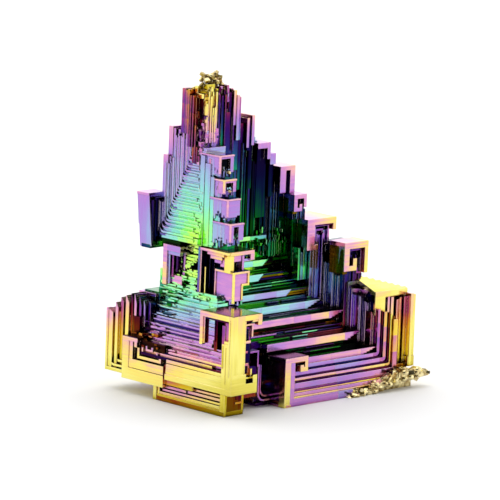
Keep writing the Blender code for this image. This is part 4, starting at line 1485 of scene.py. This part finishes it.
def oxide_film(shift):
    """Bismuth under an oxide film whose thickness, and so its colour, changes from place to place, with
    painted shade in corners and hollows and painted highlights on edges.
    """
    material = bpy.data.materials.new("oxide_film_bismuth")
    material.use_nodes = True
    tree = material.node_tree
    n = Nodes(tree)
    shader = tree.nodes["Principled BSDF"]
    coordinates = n.add("ShaderNodeTexCoord").outputs["Object"]
    own = n.add("ShaderNodeMapping", vector_type="POINT")
    n.put(own, Vector=coordinates, Location=tuple(shift), Scale=(1 / MM, 1 / MM, 1 / MM))
    at = own.outputs[0]
    look = {}
    for name in LOOKS:
        node = n.add("ShaderNodeAttribute", attribute_name=name, attribute_type="GEOMETRY")
        look[name] = node.outputs["Fac"]

    # Growth lines: stretched along the ledge, or upright on the pleats.
    level = n.noise(n.vector("MULTIPLY", at, LEVEL_LINES), 1, 3, 0.6)
    upright = n.noise(n.vector("MULTIPLY", at, UPRIGHT_LINES), 1, 3, 0.6)
    lines = n.blend("FLOAT", look["upright"], level, upright)
    patches = n.noise(at, PATCH_SCALE)

    # The long right side cooled more evenly, so distance counts for less that way.
    out = n.vector("SUBTRACT", at, FILM_CENTRE)
    out = n.vector("MINIMUM", out, n.vector("MULTIPLY", out, (FILM_RIGHT_SHARE, 1, 1)))
    away = n.vector("LENGTH", out, output="Value")
    away = n.math("SQRT", n.math("MULTIPLY_ADD", away, away, FILM_HEART ** 2))
    steps = n.math("DIVIDE", n.math("SUBTRACT", away, FILM_CORE), FILM_STEP)
    steps = n.math("ADD", steps, look["film"])
    steps = n.math("MULTIPLY_ADD", n.math("SUBTRACT", lines, 0.5), LINES_SHARE, steps)
    steps = n.math("MULTIPLY_ADD", n.math("SUBTRACT", patches, 0.5), PATCHES_SHARE, steps)
    low, high = FILM_COLOURS[0][0], FILM_COLOURS[-1][0]
    place = n.math("DIVIDE", n.math("SUBTRACT", steps, low), high - low, clamp=True)
    ramp = n.add("ShaderNodeValToRGB")
    n.put(ramp, Fac=place)
    stops = ramp.color_ramp.elements
    for number, (step, colour) in enumerate(FILM_COLOURS):
        stop = stops[number] if number < 2 else stops.new(1)
        stop.position = (step - low) / (high - low)
        stop.color = linear(*colour)

    # Painted shade: corners found by ambient occlusion, and blocks given painted shade, are darkened and
    # made stronger in colour.
    corner = n.add("ShaderNodeAmbientOcclusion", samples=4)
    n.put(corner, Distance=CORNER_REACH)
    shade = n.add("ShaderNodeMapRange", interpolation_type="SMOOTHSTEP")
    n.put(shade, in0=corner.outputs["AO"], in1=CORNER_LIGHT, in2=CORNER_DARK, in3=0, in4=CORNER_DEPTH)
    deep = n.math("MAXIMUM", n.math("ADD", shade.outputs[0], look["deep"]), 0)
    shaded_film = n.add("ShaderNodeGamma")
    n.put(shaded_film, Color=ramp.outputs[0], Gamma=n.math("MULTIPLY_ADD", deep, SHADE_GAMMA, 1))
    dim = n.math("SUBTRACT", 1, n.math("MULTIPLY", deep, SHADE_DIM), clamp=True)
    film = n.vector("SCALE", shaded_film.outputs[0])
    n.put(film.node, Scale=dim)

    # Painted highlight: rounded edges, found with the bevel normal, are mixed toward a pale cream as if
    # they caught the light.
    soft = n.add("ShaderNodeBevel", samples=4)
    n.put(soft, Radius=EDGE_RADIUS)
    flat = n.add("ShaderNodeNewGeometry").outputs["True Normal"]
    facing = n.vector("DOT_PRODUCT", soft.outputs[0], flat, "Value")
    edge = n.math("MULTIPLY", n.math("SUBTRACT", 1, facing), EDGE_GAIN, clamp=True)
    # The painted highlight is weaker where more shade is painted in.
    plain = n.math("MULTIPLY_ADD", look["deep"], -EDGE_HIGHLIGHT_SHARE, EDGE_HIGHLIGHT_SHARE, clamp=True)
    edge_highlight = n.math("MULTIPLY", edge, plain)
    colour = n.blend("RGBA", edge_highlight, film, linear(*EDGE_HIGHLIGHT_COLOUR))
    crust_shade = n.add("ShaderNodeValToRGB")
    n.put(crust_shade, Fac=n.noise(at, CRUST_SCALE, 3))
    for stop, (place, tint) in zip(crust_shade.color_ramp.elements, CRUST_COLOURS):
        stop.position = place
        stop.color = linear(*tint)
    colour = n.blend("RGBA", look["bare"], colour, crust_shade.outputs[0])
    bump = n.add("ShaderNodeBump")
    n.put(bump, Strength=BUMP_STRENGTH, Distance=BUMP_DEPTH, Height=lines, Normal=soft.outputs[0])
    rough = n.math("MULTIPLY_ADD", lines, ROUGHER, SMOOTHEST)
    n.put(shader, Metallic=1, Normal=bump.outputs[0], Roughness=rough, **{"Base Color": colour})
    return material


def pale_floor():
    """A plain pale floor under the crystal."""
    bm = bmesh.new()
    bmesh.ops.create_circle(bm, cap_ends=True, segments=96, radius=FLOOR_RADIUS)
    floor = bpy.data.objects.new("floor", bpy.data.meshes.new("floor"))
    bm.to_mesh(floor.data)
    bm.free()
    bpy.context.scene.collection.objects.link(floor)
    material = bpy.data.materials.new("pale_floor")
    material.use_nodes = True
    shader = material.node_tree.nodes["Principled BSDF"]
    shader.inputs["Base Color"].default_value = FLOOR_COLOUR
    shader.inputs["Roughness"].default_value = FLOOR_ROUGHNESS
    shader.inputs["Specular IOR Level"].default_value = FLOOR_SHINE
    floor.data.materials.append(material)


def towards(phi, rise):
    """The direction to a place seen from the crystal: degrees round from -Y towards -X, and up."""
    turn, lift = math.radians(phi), math.radians(rise)
    return Vector((-math.sin(turn) * math.cos(lift), -math.cos(turn) * math.cos(lift), math.sin(lift)))


def studio_light():
    """White walls all round, darker behind the camera, and one broad soft light overhead."""
    world = bpy.data.worlds.new("studio")
    bpy.context.scene.world = world
    world.use_nodes = True
    n = Nodes(world.node_tree)
    background = world.node_tree.nodes["Background"]
    direction = n.add("ShaderNodeTexCoord").outputs["Generated"]
    facing = n.vector("DOT_PRODUCT", direction, towards(CAMERA_ROUND, DARK_RISE), "Value")
    dark = n.add("ShaderNodeMapRange", interpolation_type="SMOOTHSTEP")
    n.put(dark, in0=facing, in1=DARK_EDGE[0], in2=DARK_EDGE[1], in3=WALL_LIGHT, in4=DARK_LIGHT)
    seen = n.add("ShaderNodeLightPath").outputs["Is Camera Ray"]
    n.put(background, Strength=n.blend("FLOAT", seen, dark.outputs[0], 1))
    background.inputs["Color"].default_value = (1, 1, 1, 1)

    light = bpy.data.lights.new("overhead", "AREA")
    light.shape = "DISK"
    light.size = LAMP_SIZE
    light.energy = LAMP_WATTS
    lamp = bpy.data.objects.new("overhead", light)
    lamp.location = LAMP_PLACE
    lamp.rotation_euler = (Vector(LAMP_PLACE) - Vector(LAMP_TARGET)).to_track_quat("Z", "Y").to_euler()
    bpy.context.scene.collection.objects.link(lamp)


def camera(shift):
    """A long lens a little above the crystal, on its front edge."""
    back = towards(CAMERA_ROUND, CAMERA_RISE)
    level = Vector((-back.y, back.x, 0)).normalized()
    rise = back.cross(level)
    roll = math.radians(CAMERA_ROLL)
    across = math.cos(roll) * level + math.sin(roll) * rise
    upward = math.cos(roll) * rise - math.sin(roll) * level
    data = bpy.data.cameras.new("camera")
    data.lens = LENS
    data.sensor_width = SENSOR
    data.clip_start = NEAREST_SEEN
    view = bpy.data.objects.new("camera", data)
    turn = Matrix((across, upward, back)).transposed().to_4x4()
    target = (Vector(CAMERA_TARGET) - shift) * MM
    view.matrix_world = Matrix.Translation(target + back * CAMERA_DISTANCE * MM) @ turn
    bpy.context.scene.collection.objects.link(view)
    bpy.context.scene.camera = view


def main():
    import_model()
    low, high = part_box(NODE)
    shift = axes_shift(low, high)
    piece = crystal(low, high)
    piece.data.materials.append(oxide_film(shift))
    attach(piece, "root")
    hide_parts(NODE)
    pale_floor()
    studio_light()
    camera(shift)
    bpy.context.scene.view_settings.view_transform = "Standard"


main()
